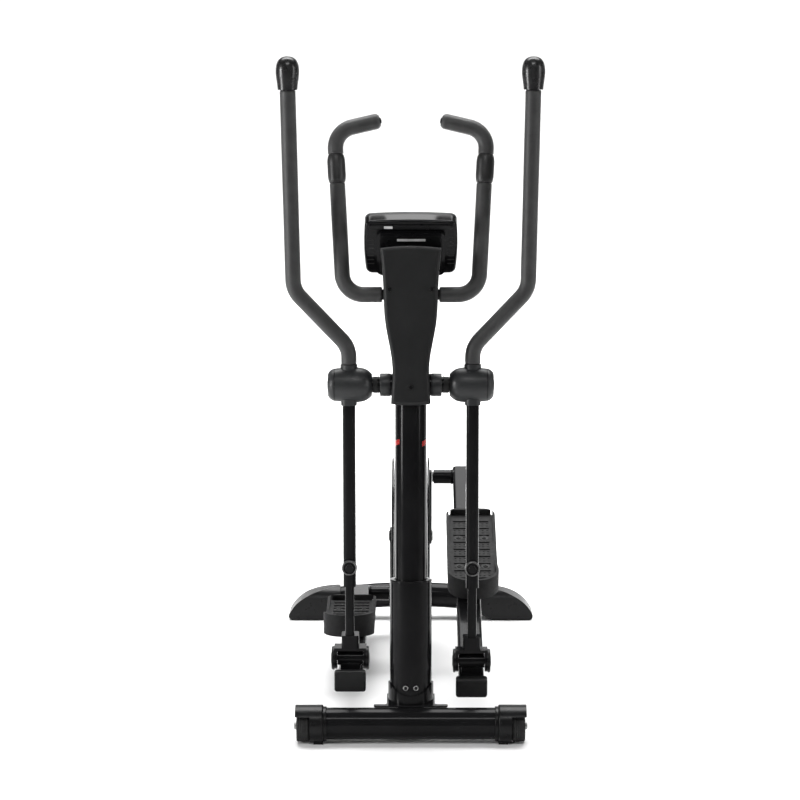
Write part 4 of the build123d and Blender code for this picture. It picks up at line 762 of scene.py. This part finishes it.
for side, word in SIDES:
    outward = (side, 0, 0)
    axis = plane_matrix((0, CRANK_Y, CRANK_Z), outward, (0, 1, 0))
    profile = ring_profile(0.150, 0.1535, DISC_FACE, 0.0495, 0.0004)
    piece(f"disc_groove_{word}", lathe(profile, axis, 128), "satin", "crank")
    profile = [(0.036, DISC_FACE), (0.036, 0.0500), (0.0335, 0.0506), (0.0325, 0.0506)]
    piece(f"disc_hub_{word}", lathe(profile, axis, 96), "satin", "crank")
    for k in range(SPOKES):
        spoke = disc_spoke(axis, math.radians(360 / SPOKES * k + 20))
        piece(f"disc_spoke_{word}_{k}", spoke, "paint", "crank")
    wheel = plane_matrix((side * 0.265, *WHEEL_YZ), outward, (0, 1, 0))
    profile = [(0.0092, 0.0044), (0.0088, 0.0052), (0.006, 0.0058), (0.0, 0.006)]
    piece(f"wheel_cap_{word}", lathe(profile, wheel, 40), "satin", "frame")
    # raised tread bands on the transport wheels
    for k in range(TREADS):
        inner = -0.0262 + 0.0052 * k
        profile = ring_profile(0.0352, 0.0366, inner, inner + 0.003, 0.0005)
        piece(f"wheel_tread_{word}_{k}", lathe(profile, wheel, 96), "rubber", f"wheel_{word}_body")
    # collar of the moulded cap over the front tube
    tube = plane_matrix((0, *TUBE_YZ), outward, (0, 1, 0))
    profile = ring_profile(0.0371, 0.0398, 0.1955, 0.2035, 0.0008)
    piece(f"front_collar_{word}", lathe(profile, tube, 96), "satin", "frame")


# --------------------------------------------------------------------- studio
BOWL_R = 10.0
BOWL_BEND = 3.0


def turned_bowl():
    """Pale floor that curves up into a low wall far behind everything."""
    flat = [(0.0, 0.0), (3.0, 0.0), (6.0, 0.0), (BOWL_R, 0.0)]
    curve = [(BOWL_R + BOWL_BEND * math.sin(math.radians(a)), BOWL_BEND * (1 - math.cos(math.radians(a))))
             for a in range(6, 91, 6)]
    top = [(BOWL_R + BOWL_BEND, 2 * BOWL_BEND)]
    bowl = lathe(flat + curve + top, Matrix.Identity(4), 128)
    mesh_object("studio_floor", bowl, "floor")


turned_bowl()


def soft_light(name, place, aim, width, height, power, cone=180.0):
    """Rectangular soft light turned towards a point."""
    data = bpy.data.lights.new(name, "AREA")
    data.shape = "RECTANGLE"
    data.size, data.size_y = width, height
    data.energy = power
    data.spread = math.radians(cone)
    obj = bpy.data.objects.new(name, data)
    obj.location = place
    obj.rotation_euler = (Vector(aim) - Vector(place)).to_track_quat("-Z", "Y").to_euler()
    bpy.context.scene.collection.objects.link(obj)


soft_light("overhead", (0, 4.2, 6.5), (0, 4.2, 0), 8.0, 8.0, 800, 100.0)
soft_light("key_left", (-3.4, -1.9, 1.2), (0, -0.4, 0.8), 0.5, 1.7, 90)
soft_light("fill_right", (3.4, -2.0, 1.6), (0, -0.4, 0.8), 0.35, 2.2, 30)
soft_light("front_top", (0.0, -4.2, 4.6), (0, -0.5, 0.5), 2.4, 0.5, 60)
soft_light("wall", (0, 8.0, 3.4), (0, 13.0, 1.4), 7.0, 1.5, 250)

world = bpy.data.worlds.new("studio")
bpy.context.scene.world = world
world.use_nodes = True
world.node_tree.nodes["Background"].inputs["Color"].default_value = (1.0, 1.0, 1.0, 1.0)
world.node_tree.nodes["Background"].inputs["Strength"].default_value = 0.12

camera_data = bpy.data.cameras.new("camera")
camera_data.lens = 111.46
camera_data.sensor_width = 36.0
camera_data.shift_x = -0.0135
camera_data.clip_end = 100.0
camera = bpy.data.objects.new("camera", camera_data)
camera.location = (0.0, -6.255, 1.566)
camera.rotation_euler = (math.radians(90 - 7.764), 0.0, 0.0)
bpy.context.scene.collection.objects.link(camera)
bpy.context.scene.camera = camera
bpy.context.scene.view_settings.view_transform = "Standard"
